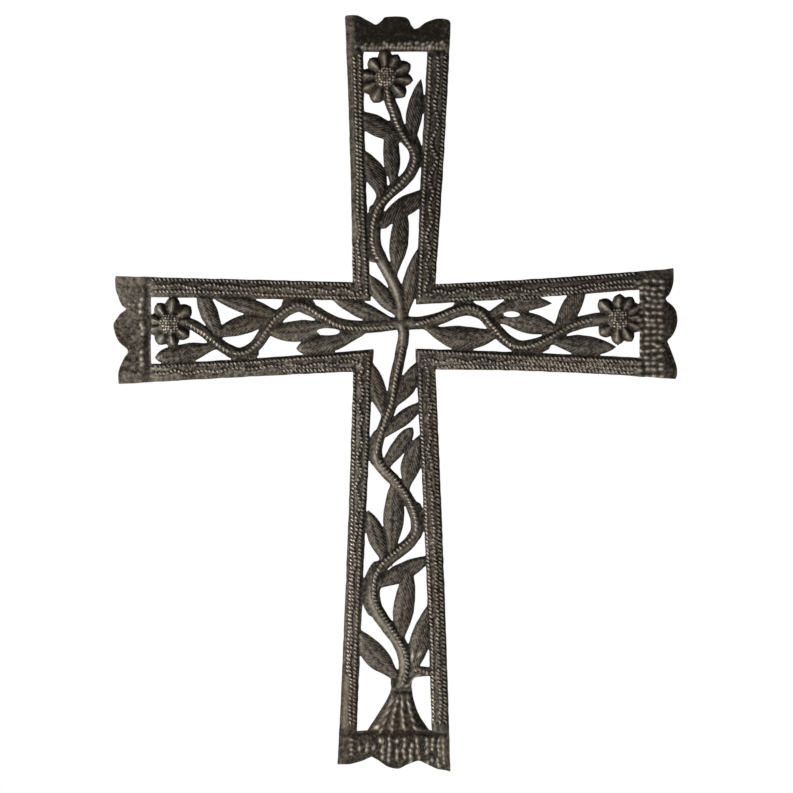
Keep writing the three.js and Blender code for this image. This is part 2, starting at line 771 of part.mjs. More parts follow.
function rootHeight(point) {
  const top = root.leftSide[1][1];
  const share = (top - point.y) / (top - rootCurves.left.getPoint(1).y);
  if (share <= 0 || share >= 1) return 0;
  const left = rootCurves.left.getPointAt(0.25 + 0.75 * share).x;
  const right = rootCurves.right.getPointAt(0.25 + 0.75 * share).x;
  const across = (point.x - left) / (right - left);
  if (across <= 0 || across >= 1) return 0;
  const flute = 0.5 + 0.5 * Math.cos((2 * Math.PI * (across - root.firstFlute)) / root.fluteSpacing);
  const crown = 1 - (2 * across - 1) ** 4;
  const foot = 1 - share ** 6;
  return rootRise * crown * foot * (1 - 0.45 * share * (1 - flute));
}

function heightAt(point) {
  const heights = ridges.map((ridge) => ridgeHeight(ridge, point));
  heights.push(bandHeight(point), endHeight(point), rootHeight(point));
  for (const centre of discs) {
    const distance = centre.distanceTo(point) / discRadius;
    if (distance < 1) heights.push(discRise * (1 - 0.35 * distance ** 2));
  }
  const raised = Math.max(...heights);
  const arm = armOf(point.x, point.y);
  const depth = arm.reach - inArm(arm, point.x, point.y)[0];
  return arm === arms.top && depth < flatDepth ? 0 : raised;
}

// Front and back share one net of triangles, set apart by the sheet's thickness and closed round the rims.
function hammeredSheet() {
  const { points, triangles } = sheetMesh(cutBlank());
  const halfEdges = new Set();
  for (const [a, b, c] of triangles) {
    halfEdges.add(`${a},${b}`).add(`${b},${c}`).add(`${c},${a}`);
  }
  const rims = [...halfEdges].map((halfEdge) => halfEdge.split(",").map(Number))
    .filter(([a, b]) => !halfEdges.has(`${b},${a}`));

  const hang = spot(arms.top, topReach - hangDepth, hangAcross);
  const positions = new Float32Array(points.length * 6);
  points.forEach((point, index) => {
    const height = heightAt(point);
    const x = point.x - hang.x;
    const z = point.y - hang.y;
    positions.set([x, -sheetThickness - height, z], index * 3);
    positions.set([x, -height, z], (points.length + index) * 3);
  });
  const back = points.length;
  const faces = [];
  for (const [a, b, c] of triangles) {
    faces.push(a, b, c, back + a, back + c, back + b);
  }
  for (const [a, b] of rims) {
    faces.push(b, a, back + b, a, back + a, back + b);
  }
  const geometry = new THREE.BufferGeometry();
  geometry.setAttribute("position", new THREE.BufferAttribute(positions, 3));
  geometry.setIndex(faces);
  geometry.computeVertexNormals();
  return geometry;
}

const steel = new THREE.MeshStandardMaterial({
  color: 0x57534c,
  roughness: 0.5,
  metalness: 0.9,
});

const cross = new THREE.Mesh(hammeredSheet(), steel);
cross.name = "cross";

const part = new THREE.Group();
part.add(cross);

export default part;
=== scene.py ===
import math

import bpy
import numpy as np
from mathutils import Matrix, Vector


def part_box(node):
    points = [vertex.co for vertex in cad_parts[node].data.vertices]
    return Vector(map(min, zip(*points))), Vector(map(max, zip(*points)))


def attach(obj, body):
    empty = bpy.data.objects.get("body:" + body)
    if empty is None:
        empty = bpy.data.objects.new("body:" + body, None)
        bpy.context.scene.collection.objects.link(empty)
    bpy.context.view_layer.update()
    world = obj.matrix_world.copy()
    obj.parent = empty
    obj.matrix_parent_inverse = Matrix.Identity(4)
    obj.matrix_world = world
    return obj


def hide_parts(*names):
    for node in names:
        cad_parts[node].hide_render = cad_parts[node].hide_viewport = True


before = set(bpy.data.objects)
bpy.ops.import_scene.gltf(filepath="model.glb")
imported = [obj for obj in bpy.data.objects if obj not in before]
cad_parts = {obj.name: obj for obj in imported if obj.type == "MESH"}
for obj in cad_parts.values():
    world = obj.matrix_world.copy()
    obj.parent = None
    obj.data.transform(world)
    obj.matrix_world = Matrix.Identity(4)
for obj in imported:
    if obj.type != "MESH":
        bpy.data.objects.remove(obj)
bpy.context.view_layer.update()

print("frame loaded:", sorted(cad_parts))

# The drawing is in millimetres from the middle of the crossing, x to the right and z up. The
# point where the cross hangs, the origin of the finished piece, lies here in it.
hanging = {"across": 0.7, "up": 225.0}

sheet = {
    "thickness": 1.2,
    "meshPitch": 0.86,  # size of the front's faces
    "fieldPitch": 0.5,  # size of the cells the shape is worked out in
    "fillet": 1.1,  # how round the chisel left the inner corners
    "edgeWobble": 0.14,
    "backKept": 0.07,  # share of the back's faces that stay
}

# The shape is worked out in cells over the whole drawing, then given to the mesh.
fieldLow = np.array([-222.0, -352.0])
fieldHigh = np.array([222.0, 246.0])
columns = int(round((fieldHigh[0] - fieldLow[0]) / sheet["fieldPitch"])) + 1
lines = int(round((fieldHigh[1] - fieldLow[1]) / sheet["fieldPitch"])) + 1
xs = fieldLow[0] + np.arange(columns) * sheet["fieldPitch"]
zs = fieldLow[1] + np.arange(lines) * sheet["fieldPitch"]
fieldX, fieldZ = np.meshgrid(xs, zs)


def between(three, share):  # a hand-cut size at a share of the arm's length
    first = three[0] * (1 - share) * (1 - 2 * share)
    middle = three[1] * 4 * share * (1 - share)
    return first + middle + three[2] * share * (2 * share - 1)


def smoothStep(value, low, high):
    share = np.clip((value - low) / (high - low), 0, 1)
    return share * share * (3 - 2 * share)


def softMin(a, b, reach):
    return np.minimum(a, b) - np.maximum(reach - np.abs(a - b), 0) ** 2 / (4 * reach)


def softMax(a, b, reach):
    return -softMin(-a, -b, reach)


def waves(px, pz, longest, shortest, seed, count=14):  # a gentle random field, about -1 to 1
    chance = np.random.default_rng(seed)
    total = np.zeros_like(px)
    for length, way, start in zip(
        chance.uniform(shortest, longest, count),
        chance.uniform(0, 2 * math.pi, count),
        chance.uniform(0, 2 * math.pi, count),
    ):
        total += np.sin((px * math.cos(way) + pz * math.sin(way)) * 2 * math.pi / length + start)
    return total / math.sqrt(count)


def blur(field, cells, rounds=2):
    for axis in (0, 1):
        for _ in range(rounds):
            padded = np.pad(field, [(cells, cells) if a == axis else (0, 0) for a in (0, 1)], "edge")
            summed = np.cumsum(padded, axis=axis)
            zero = np.zeros_like(np.take(summed, [0], axis=axis))
            summed = np.concatenate([zero, summed], axis=axis)
            size = field.shape[axis]
            ahead = np.take(summed, range(2 * cells + 1, 2 * cells + 1 + size), axis=axis)
            behind = np.take(summed, range(size), axis=axis)
            field = (ahead - behind) / (2 * cells + 1)
    return field


def smoothRun(points, step):  # a curve through the points, cut into even steps
    known = np.array([points[0], *points, points[-1]], float)
    fine = []
    for k in range(len(points) - 1):
        a, b, c, d = known[k:k + 4]
        for t in np.linspace(0, 1, 12, endpoint=False):
            fine.append(0.5 * (2 * b + (c - a) * t + (2 * a - 5 * b + 4 * c - d) * t * t
                               + (3 * b - a - 3 * c + d) * t ** 3))
    fine.append(known[-1])
    fine = np.array(fine)
    gone = np.concatenate([[0], np.cumsum(np.hypot(*np.diff(fine, axis=0).T))])
    count = max(2, int(round(gone[-1] / step)) + 1)
    wanted = np.linspace(0, gone[-1], count)
    return np.stack([np.interp(wanted, gone, fine[:, 0]), np.interp(wanted, gone, fine[:, 1])], 1)


def bentRun(base, bend, tip, count):
    t = np.linspace(0, 1, count)[:, None]
    return (1 - t) ** 2 * np.array(base) + 2 * t * (1 - t) * np.array(bend) + t * t * np.array(tip)


def follow(run, halfWidths, px, pz):  # distance from a run, side, way gone, half width, heading
    best = np.full(px.shape, 1e9)
    side = np.zeros(px.shape)
    gone = np.zeros(px.shape)
    half = np.ones(px.shape)
    heading = np.zeros(px.shape)
    travelled = 0.0
    for k in range(len(run) - 1):
        ax, az = run[k]
        dx, dz = run[k + 1] - run[k]
        length = math.hypot(dx, dz)
        share = np.clip(((px - ax) * dx + (pz - az) * dz) / length ** 2, 0, 1)
        ox = px - ax - share * dx
        oz = pz - az - share * dz
        away = np.hypot(ox, oz)
        nearer = away < best
        best = np.where(nearer, away, best)
        side = np.where(nearer, np.sign(dx * oz - dz * ox), side)
        gone = np.where(nearer, travelled + share * length, gone)
        half = np.where(nearer, halfWidths[k] + share * (halfWidths[k + 1] - halfWidths[k]), half)
        heading = np.where(nearer, math.atan2(dz, dx), heading)
        travelled += length
    return best, side, gone, half, heading


def fromRun(run, px, pz):  # the same for a bare line
    return follow(run, np.ones(len(run)), px, pz)


def windowOf(run, room):  # the part of the field that a run can reach
    low = np.clip(((run.min(0) - room - fieldLow) / sheet["fieldPitch"]).astype(int), 0, None)
    high = ((run.max(0) + room - fieldLow) / sheet["fieldPitch"]).astype(int) + 2
    return slice(low[1], high[1]), slice(low[0], high[0])


def leafWidths(count, halfWidth, stalkShare, fullest, tipPower):
    widths = []
    for share in np.linspace(0, 1, count):
        if share < fullest:
            grown = smoothStep(share, 0, fullest)
            widths.append(halfWidth * (stalkShare + (1 - stalkShare) * grown))
        else:
            towardTip = (share - fullest) / (1 - fullest)
            widths.append(max(0.3, halfWidth * (1 - towardTip ** tipPower) ** 0.8))
    return np.array(widths)


# Each arm has its width at the crossing, midway and at the end, the drift of its middle line and
# the width of its two bands in the same three places. An end is an edge of three lobes, given as
# the distance from the middle line and how far it stands past the reach.
arms = {
    "top": {
        "way": (0, 1), "side": (1, 0), "reach": 238, "widths": (64.5, 73.2, 82.3),
        "drift": (-0.3, 2, 2.7), "lowBand": (13.6, 11.9, 13.9), "highBand": (14.7, 17.3, 16.6),
        "lobes": [
            (-38.5, 0), (-37.4, 2.1), (-29, 2.2), (-20, -2), (-14.6, -4.9), (-10, -2.2),
            (-6.2, 1.1), (8.4, 0.6), (13.4, -5.5), (17, -8), (25.4, -2.8), (35, 0),
            (42.6, -1.9), (44, -7),
        ],
    },
    "right": {
        "way": (1, 0), "side": (0, 1), "reach": 216, "widths": (66.6, 73.2, 85.9),
        "drift": (-1.3, 0.2, 1.2), "lowBand": (15.9, 14.3, 15.3), "highBand": (15.2, 14.4, 14.2),
        "lobes": [
            (-41.7, 1.9), (-38.4, 3.1), (-32.5, 2.8), (-22.9, -0.2), (-15.2, -3.4),
            (-11.9, -4.3), (-7.4, -0.2), (0.3, 3.2), (8.7, 2.8), (15.2, -0.7), (19.9, -5.5),
            (23.6, -2.5), (31.3, 0.1), (38, 0.6), (43.5, 0.4),
        ],
    },
    "bottom": {
        "way": (0, -1), "side": (1, 0), "reach": 341, "widths": (63.8, 75.4, 87.4),
        "drift": (-0.1, 0.5, -0.5), "lowBand": (15.2, 13.4, 14), "highBand": (15, 13.8, 13.6),
        "lobes": [
            (-43.8, -0.3), (-34.3, -0.6), (-26.5, -2.5), (-19.4, -5.5), (-17.3, -6.1),
            (-12.8, -3.7), (-5.4, 1.3), (3.3, 3), (10.7, -0.4), (18.2, -3), (23.6, -1),
            (31.3, 2.6), (39.1, 4.3), (43.1, 5.3),
        ],
    },
    "left": {
        "way": (-1, 0), "side": (0, 1), "reach": 215, "widths": (69.7, 76.2, 84),
        "drift": (-1.5, -2.5, -4), "lowBand": (16.3, 14, 14.6), "highBand": (14.5, 15, 16.2),
        "lobes": [
            (-45.8, -0.9), (-40.2, -0.7), (-34.9, -1.3), (-25.9, -4.9), (-19.8, -8.2),
            (-13.4, -1.9), (-5.1, 2.2), (1.2, 2.7), (8.1, -2.2), (12.2, -6.7), (15.2, -3.7),
            (24.2, 0.4), (33, 1.6), (37.6, 1.2),
        ],
    },
}
frameShape = {
    "crossingHalf": 33,
    "bandRise": 1.5, "rollWidth": 6.2, "settleWidth": 2.6,  # the outer turn and the inner edge
    "endBand": 26, "endRise": 0.9, "leftEndShare": 0.35,
    "topFlat": 21,  # the top end lies flat to this depth
    "topSettle": 7,  # and the bands rise again within this much more
    "bandStart": 8,  # no band is raised nearer to the middle of the crossing
}


# The frame. Each distance is below nought inside the metal.
def shareAlong(arm, along):
    start = frameShape["crossingHalf"]
    return (along - start) / (arm["reach"] - start)


def outerEdge(arm, side, along):
    share = shareAlong(arm, along)
    return between(arm["widths"], share) / 2 + side * between(arm["drift"], share)


def bandWidth(arm, side, along):
    return between(arm["lowBand"] if side < 0 else arm["highBand"], shareAlong(arm, along))


def endPast(arm, across):
    lobes = np.array(arm["lobes"], float)
    drawnLow, drawnHigh = -lobes[0, 0], lobes[-1, 0]
    low = outerEdge(arm, -1, arm["reach"]) / drawnLow
    high = outerEdge(arm, 1, arm["reach"]) / drawnHigh
    placed = lobes[:, 0] * np.where(lobes[:, 0] < 0, low, high)
    fine = smoothRun(list(zip(placed, lobes[:, 1])), 0.7)
    order = np.argsort(fine[:, 0])
    return np.interp(across, fine[order, 0], fine[order, 1])


armName = np.where(
    np.abs(fieldZ) > np.abs(fieldX),
    np.where(fieldZ > 0, "top", "bottom"), np.where(fieldX > 0, "right", "left"))
metal = np.full(fieldX.shape, 1e3)
opening = np.full(fieldX.shape, 1e3)
bandShare = np.full(fieldX.shape, -1.0)  # 0 at the outer edge of a band, 1 at its inner edge
bandReach = np.zeros(fieldX.shape)
endDepth = np.full(fieldX.shape, 1e3)  # distance in from the end of the arm
acrossShare = np.zeros(fieldX.shape)
alongHere = np.zeros(fieldX.shape)
for name, arm in arms.items():
    along = fieldX * arm["way"][0] + fieldZ * arm["way"][1]
    across = fieldX * arm["side"][0] + fieldZ * arm["side"][1]
    ahead = np.maximum(along, 0)
    outer = np.where(across < 0, outerEdge(arm, -1, ahead), outerEdge(arm, 1, ahead))
    band = np.where(across < 0, bandWidth(arm, -1, ahead), bandWidth(arm, 1, ahead))
    inner = outer - band
    past = endPast(arm, across)
    slope = np.gradient(past, axis=1 if arm["side"][0] else 0) / sheet["fieldPitch"]
    endAway = (along - arm["reach"] - past) / np.sqrt(1 + np.minimum(slope ** 2, 4))
    bar = np.maximum(np.maximum(np.abs(across) - outer, endAway), -along - 1)
    farEdge = along - arm["reach"] + frameShape["endBand"]
    hole = np.maximum(np.maximum(np.abs(across) - inner, farEdge), -along - 1)
    metal = np.minimum(metal, bar)
    opening = np.minimum(opening, hole)
    here = armName == name
    bandShare = np.where(here, (outer - np.abs(across)) / band, bandShare)
    bandReach = np.where(here, band, bandReach)
    endDepth = np.where(here, arm["reach"] + past - along, endDepth)
    acrossShare = np.where(here, across / outer, acrossShare)
    alongHere = np.where(here, along, alongHere)
frameAway = np.maximum(metal, -opening)
insideBand = smoothStep(-frameAway, -0.6, 2.4)  # 1 well inside the frame's own metal
print("frame outlined")

# Stems: half width at the start, midway and at the end, and the run of the middle.
stems = [
    {
        "halfWidths": (4.5, 4.9, 4.7),
        "run": [
            (-5.2, 184), (-3.6, 174), (0, 165), (3.9, 153), (10, 143.6), (15.4, 136),
            (16.2, 127.5), (11.8, 117.2), (3.6, 108.9), (-4.6, 102), (-11, 94.7), (-14.2, 85),
            (-15.6, 73), (-14.6, 61), (-10.4, 51), (-4.6, 40.5), (-1, 33.5), (1.8, 27),
            (4, 19), (5.8, 2),
        ],
    },
    {
        "halfWidths": (4.2, 5, 5),
        "run": [
            (-168, 4.4), (-157, 0.5), (-147, -5.8), (-138, -13), (-130, -18.5), (-121, -22.2),
            (-113, -19.8), (-107, -15), (-101.2, -7), (-95.2, 0.4), (-89.6, 6.8), (-82.6, 12.4),
            (-74.1, 15.2), (-66, 12.4), (-57, 7.4), (-48, 2.6), (-38, -0.6), (-26, -1.6),
            (-12, -0.4), (6, 1.7),
        ],
    },
    {
        "halfWidths": (5.3, 4.9, 5.2),
        "run": [
            (166, 4.8), (153, 3.8), (140, 0.6), (131.5, -3), (122, -9.2), (113, -14),
            (100, -16.6), (91.4, -14.6), (85, -10), (79.4, -4), (73.8, 2.8), (67, 9.5),
            (57, 12.2), (47, 10.2), (35, 5.3), (22, 1.9), (6, 1.8),
        ],
    },
    {
        "halfWidths": (4.4, 4.6, 5),
        "run": [
            (5.5, 2), (7, -8), (5, -20.6), (2.5, -32.5), (0, -45), (-1.4, -57), (-4.4, -68),
            (-8.2, -78.5), (-12.2, -88.5), (-14, -98), (-12.5, -106.5), (-7, -113.6),
            (0, -120.6), (7, -130), (10.8, -135.2), (14, -141.4), (16.8, -151), (17.2, -158),
            (14.8, -164.4), (10.2, -170), (3.4, -175.8), (-3.6, -181), (-9.6, -186.6),
            (-13.8, -192.8), (-16, -201),
        ],
    },
    {
        "halfWidths": (5.4, 5.5, 5.6),
        "run": [
            (-13.4, -192.5), (-15.8, -201), (-16.6, -210), (-14.6, -219), (-9.4, -228.4),
            (-2.4, -237.2), (3.6, -246), (7.4, -254.6), (8.6, -264), (7.4, -274), (5.6, -286),
        ],
    },
]
stemWork = {"rise": 2.7, "step": 2.2}

# Leaves: base, bend, tip, half width and the stalk's share of it.
leaves = [
    # top arm
    ((12.6, 140), (14.4, 162), (20.4, 190.3), 6.4, 0.5),
    ((2, 147), (-12, 153), (-34, 165), 8, 0.7),
    ((-0.8, 107), (-1.6, 128), (-4.2, 158), 6.6, 0.4),
    ((-10, 100), (-11, 116.6), (-30, 137), 8.2, 0.52),
    ((-8.6, 79.4), (4.6, 93), (33, 104.2), 7.6, 0.62),
    ((-0.4, 36), (3.6, 64), (7, 95), 7.3, 0.3),
    ((8.6, 8), (11.4, 31), (21, 62), 6.6, 0.38),
    ((4, 7), (-9, 22), (-24, 41), 6.7, 0.36),
    # left arm
    ((-140, -16), (-160, -22.8), (-185.6, -25.2), 7.6, 0.42),
    ((-136.8, -6), (-144, 8), (-152.2, 32), 6.9, 0.7),
    ((-93, 7.4), (-111, 14.6), (-143, 23.4), 6.5, 0.72),
    ((-95, 4), (-115, 3.2), (-141.5, -8.8), 7.5, 0.46),
    ((-51, 1), (-72, -7.4), (-101, -4.4), 8.4, 0.5),
    ((-27, -5), (-50, -16), (-76.2, -18.2), 7.4, 0.55),
    ((-2, 3.2), (-23, 9), (-52, 25), 6.6, 0.45),
    # right arm
    ((24, -1), (49, -16.4), (82, -6), 9.3, 0.3),
    ((75, 7.5), (91, 19), (122, 16.8), 6.6, 0.5),
    ((80, 3.6), (103, 4.2), (128, -5), 8.2, 0.32),
    ((125.6, -5), (135.9, 9.6), (147.8, 36), 7.5, 0.5),
    ((117, -11), (146, -17.2), (171.5, -17), 7.8, 0.25),
    # bottom arm
    ((-7.4, -72), (-13.2, -50), (-22, -25), 7.3, 0.32),
    ((0, -62), (8.8, -49.6), (22, -26), 7, 0.36),
    ((-7, -84), (4.6, -73.4), (24, -59), 5.8, 0.55),
    ((-7.6, -109.8), (2.6, -95.6), (14, -79.4), 5.9, 0.62),
    ((9, -128), (11, -110), (20, -85), 7.7, 0.32),
    ((-7.6, -182), (-13.2, -166), (-20.6, -143.6), 7.2, 0.48),
    ((-2.4, -178), (-0.8, -151), (1.4, -116), 8.1, 0.38),
    ((-13, -201.4), (2, -194), (29, -179.4), 7.3, 0.45),
    ((3.6, -246), (6.2, -224), (12.4, -185), 8.2, 0.4),
    ((13, -268), (18.4, -250), (28.6, -215), 8, 0.6),
    ((0, -271), (-11.6, -260.6), (-36, -233), 9.2, 0.46),
    ((8, -272.6), (15, -265.6), (36, -270.6), 4.3, 0.9),
]
leafWork = {
    "rise": 2.2, "fullness": 2.4, "points": 24, "midribWidth": 0.8, "midribDepth": 0.45,
    "fullest": 0.48,  # share of the length where a leaf or a petal is widest
    "tipPower": 2.2, "bluntPower": 4.5,
    "bluntTips": [(-185.6, -25.2), (-76.2, -18.2), (14, -79.4)],
}

# Webs left in where a stem runs along a band: start, bend, end and half width.
webs = [
    ((-16, 90), (-19.5, 72), (-16, 52), 3.6),
    ((15, 145), (21.8, 134), (15, 122), 3.2),
    ((-128, -22), (-118, -27), (-108, -22), 3),
    ((-84, 16), (-74, 21.5), (-65, 16), 3.6),
    ((49, 14.4), (55, 19.4), (60, 14.4), 3.6),
    ((93, -16.4), (104, -22), (117, -16.4), 3.4),
    ((17, -141), (22.8, -152), (17, -163), 3.8),
    ((-13.6, -85), (-19.4, -95.6), (-15.4, -105), 3.6),
    ((-13.4, -188), (-25.4, -205), (-17, -221), 5),
    ((72, 6), (77, 9.2), (83, 12), 3),
]
webWork = {"rise": 0.8, "points": 14}

# Flowers: the middle of the disc, then each petal's angle, reach and half width.
flowers = [
    {
        "middle": (-6.5, 192),
        "petals": [
            (93, 22.5, 5.7), (63, 20, 5.2), (29, 21.6, 6), (-6, 21, 5.2), (-46, 21, 6),
            (-117, 22, 6.3), (-152, 21.4, 6), (173, 20, 5.4), (131, 19.6, 5.8),
        ],
    },
    {
        "middle": (-174.6, 1.2),
        "petals": [
            (80, 21.5, 5.8), (38, 21.2, 6.4), (-35, 18.6, 5.8), (-80, 19, 5.6),
            (-117, 18.4, 5.7), (-162, 17, 5.8), (167, 16, 5.8), (121, 18.4, 5.4),
        ],
    },
    {
        "middle": (173.5, 4.8),
        "petals": [
            (135, 20.8, 6), (86, 19.4, 5.4), (57, 20.2, 5.4), (30, 20.4, 5.6), (7, 21, 5.4),
            (-22, 20.2, 5.4), (-59, 20.4, 5.4), (-91, 20.2, 5.4), (-138, 19.2, 5.8),
        ],
    },
]
flowerWork = {
    "discRadius": 8, "discRise": 3.9, "domeFall": 0.3,
    "petalRise": 4.1, "petalBase": 0.7, "petalPower": 3.2, "petalPoints": 16,
}

# Every raised stroke: its run, half widths, rise and the shape of its back.
strokes = []


def addStroke(kind, run, halfWidths, rise):
    strokes.append({"kind": kind, "run": run, "halfWidths": halfWidths, "rise": rise})


for stem in stems:
    run = smoothRun(stem["run"], stemWork["step"])
    widths = between(stem["halfWidths"], np.linspace(0, 1, len(run)))
    addStroke("stem", run, widths, stemWork["rise"])
for start, bend, end, halfWidth in webs:
    count = webWork["points"]
    widths = np.full(count, float(halfWidth))
    addStroke("web", bentRun(start, bend, end, count), widths, webWork["rise"])
for base, bend, tip, halfWidth, stalkShare in leaves:
    count = leafWork["points"]
    power = leafWork["bluntPower"] if tip in leafWork["bluntTips"] else leafWork["tipPower"]
    widths = leafWidths(count, halfWidth, stalkShare, leafWork["fullest"], power)
    addStroke("leaf", bentRun(base, bend, tip, count), widths, leafWork["rise"])
for flower in flowers:
    for angle, reach, halfWidth in flower["petals"]:
        way = np.array([math.cos(math.radians(angle)), math.sin(math.radians(angle))])
        count = flowerWork["petalPoints"]
        steps = np.linspace(flowerWork["discRadius"] * 0.6, reach, count)[:, None]
        widths = leafWidths(count, halfWidth, flowerWork["petalBase"], leafWork["fullest"],
                            flowerWork["petalPower"])
        run = np.array(flower["middle"]) + steps * way
        addStroke("petal", run, widths, flowerWork["petalRise"])

vineAway = np.full(fieldX.shape, 1e3)
vineHeight = np.zeros(fieldX.shape)
shadeOf = {kind: np.zeros(fieldX.shape) for kind in ("stem", "web", "leaf", "petal")}
for stroke in strokes:
    part = windowOf(stroke["run"], stroke["halfWidths"].max() + 4)
    px, pz = fieldX[part], fieldZ[part]
    away, _, _, half, _ = follow(stroke["run"], stroke["halfWidths"], px, pz)
    signed = away - half
    vineAway[part] = softMin(vineAway[part], signed, sheet["fillet"])
    share = np.clip(away / half, 0, 1)
    slimness = np.minimum(1, half / (stroke["rise"] * 1.6))
    if stroke["kind"] == "leaf":
        groove = leafWork["midribDepth"] * np.exp(-(away / leafWork["midribWidth"]) ** 2)
        height = stroke["rise"] * slimness * (1 - share ** leafWork["fullness"])
        height -= groove * slimness
    elif stroke["kind"] == "petal":
        height = stroke["rise"] * slimness * (1 - share)
    else:
        height = stroke["rise"] * slimness * (1 - share ** 2)
    covered = shadeOf[stroke["kind"]]
    covered[part] = np.maximum(covered[part], smoothStep(-signed, -0.3, 0.8))
    height = np.where(signed < 0, height, 0)
    vineHeight[part] = softMax(vineHeight[part], height, 0.35)
leafShade, petalShade, stemShade = shadeOf["leaf"], shadeOf["petal"], shadeOf["stem"]

discAway = np.full(fieldX.shape, 1e3)
discHeight = np.zeros(fieldX.shape)
for flower in flowers:
    away = np.hypot(fieldX - flower["middle"][0], fieldZ - flower["middle"][1])
    radius = flowerWork["discRadius"]
    discAway = np.minimum(discAway, away - radius)
    dome = flowerWork["discRise"] * (1 - flowerWork["domeFall"] * (away / radius) ** 2)
    discHeight = np.where(away < radius, np.maximum(discHeight, dome), discHeight)
vineAway = softMin(vineAway, discAway, sheet["fillet"])

# The root: its two sides, from the neck to the foot, and its flutes.
root = {
    "leftSide": [
        (-1.6, -269), (-2.8, -277), (-2.6, -282), (-6.9, -292), (-16.4, -306.9), (-24, -319),
    ],
    "rightSide": [
        (15, -270), (13.6, -277), (13.5, -283), (16.1, -294.4), (21.5, -306.3), (31, -319),
    ],
    "rise": 2.8, "collar": 9, "firstFlute": 0.17, "fluteSpacing": 0.22, "fluteShare": 0.26,
}
rootLeft = smoothRun(root["leftSide"], 1)
rootRight = smoothRun(root["rightSide"], 1)
rootTop, rootFoot = rootLeft[0, 1], rootLeft[-1, 1]
leftX = np.interp(-fieldZ, -rootLeft[:, 1], rootLeft[:, 0])
rightX = np.interp(-fieldZ, -rootRight[:, 1], rootRight[:, 0])
rootAway = np.maximum(np.maximum(leftX - fieldX, fieldX - rightX),
                      np.maximum(fieldZ - rootTop, rootFoot - fieldZ)) * 0.9
vineAway = softMin(vineAway, rootAway, sheet["fillet"])
rootAcross = np.clip((fieldX - leftX) / (rightX - leftX), 0, 1)
belowCollar = rootTop - root["collar"] - fieldZ
rootDown = np.clip(belowCollar / (rootTop - root["collar"] - rootFoot), 0, 1)
flute = 0.5 + 0.5 * np.cos(2 * math.pi * (rootAcross - root["firstFlute"]) / root["fluteSpacing"])
crown = 1 - (2 * rootAcross - 1) ** 4
fluted = root["fluteShare"] * flute ** 1.4 * smoothStep(rootDown, 0.05, 0.3)
rootHeight = root["rise"] * crown * (1 - root["fluteShare"] + fluted)
rootHeight *= smoothStep(belowCollar, 0, 5) * smoothStep(fieldZ, -318.5, -313)
rootHeight = np.where((rootAway < 0) & (rootDown > 0), rootHeight, 0)

# Small openings between two leaves: the middle, half the length and half the width.
slits = [
    ((90.6, 8.3), 6.7, 2.2),
    ((-51.4, -5.1), 9.4, 2.7),
]
sheetAway = softMin(frameAway, vineAway, sheet["fillet"])
for (x, z), halfLength, halfWidth in slits:
    inSlit = np.hypot((fieldX - x) / halfLength, (fieldZ - z) / halfWidth)
    sheetAway = np.maximum(sheetAway, (1 - inSlit) * halfWidth)
sheetAway += sheet["edgeWobble"] * waves(fieldX, fieldZ, 26, 7, 3)
print("vine, flowers and root outlined")

# Relief of the frame: each band is turned back along its outer edge and set down at the inner.
share = np.clip(bandShare, 0, 1)
fromOuter = share * bandReach
fromInner = (1 - share) * bandReach
rolled = smoothStep(fromOuter, 0, frameShape["rollWidth"])
rolled *= smoothStep(fromInner, 0, frameShape["settleWidth"])
inBand = (bandShare > 0) & (bandShare < 1) & (alongHere > frameShape["bandStart"])
topDepth = np.where(armName == "top", endDepth, 1e3)
settleEnd = frameShape["topFlat"] + frameShape["topSettle"]
settle = smoothStep(topDepth, frameShape["topFlat"], settleEnd)
onEnd = 1 - smoothStep(endDepth - frameShape["endBand"], -3, 4)
bandHeight = np.where(inBand, frameShape["bandRise"] * rolled * settle, 0) * (1 - onEnd)
endRolled = smoothStep(endDepth, 0, 5) * smoothStep(frameShape["endBand"] - endDepth, 0, 4)
endHeight = frameShape["endRise"] * endRolled * (1 - acrossShare ** 8)
endHeight = np.where((armName != "top") & (endDepth > 0), endHeight, 0)
endHeight = np.where(armName == "left", frameShape["leftEndShare"] * endHeight, endHeight)

height = softMax(bandHeight, endHeight, 0.5)
height = softMax(height, vineHeight * (1 - 0.85 * insideBand), 0.6)
height = softMax(height, np.maximum(discHeight, rootHeight), 0.5)

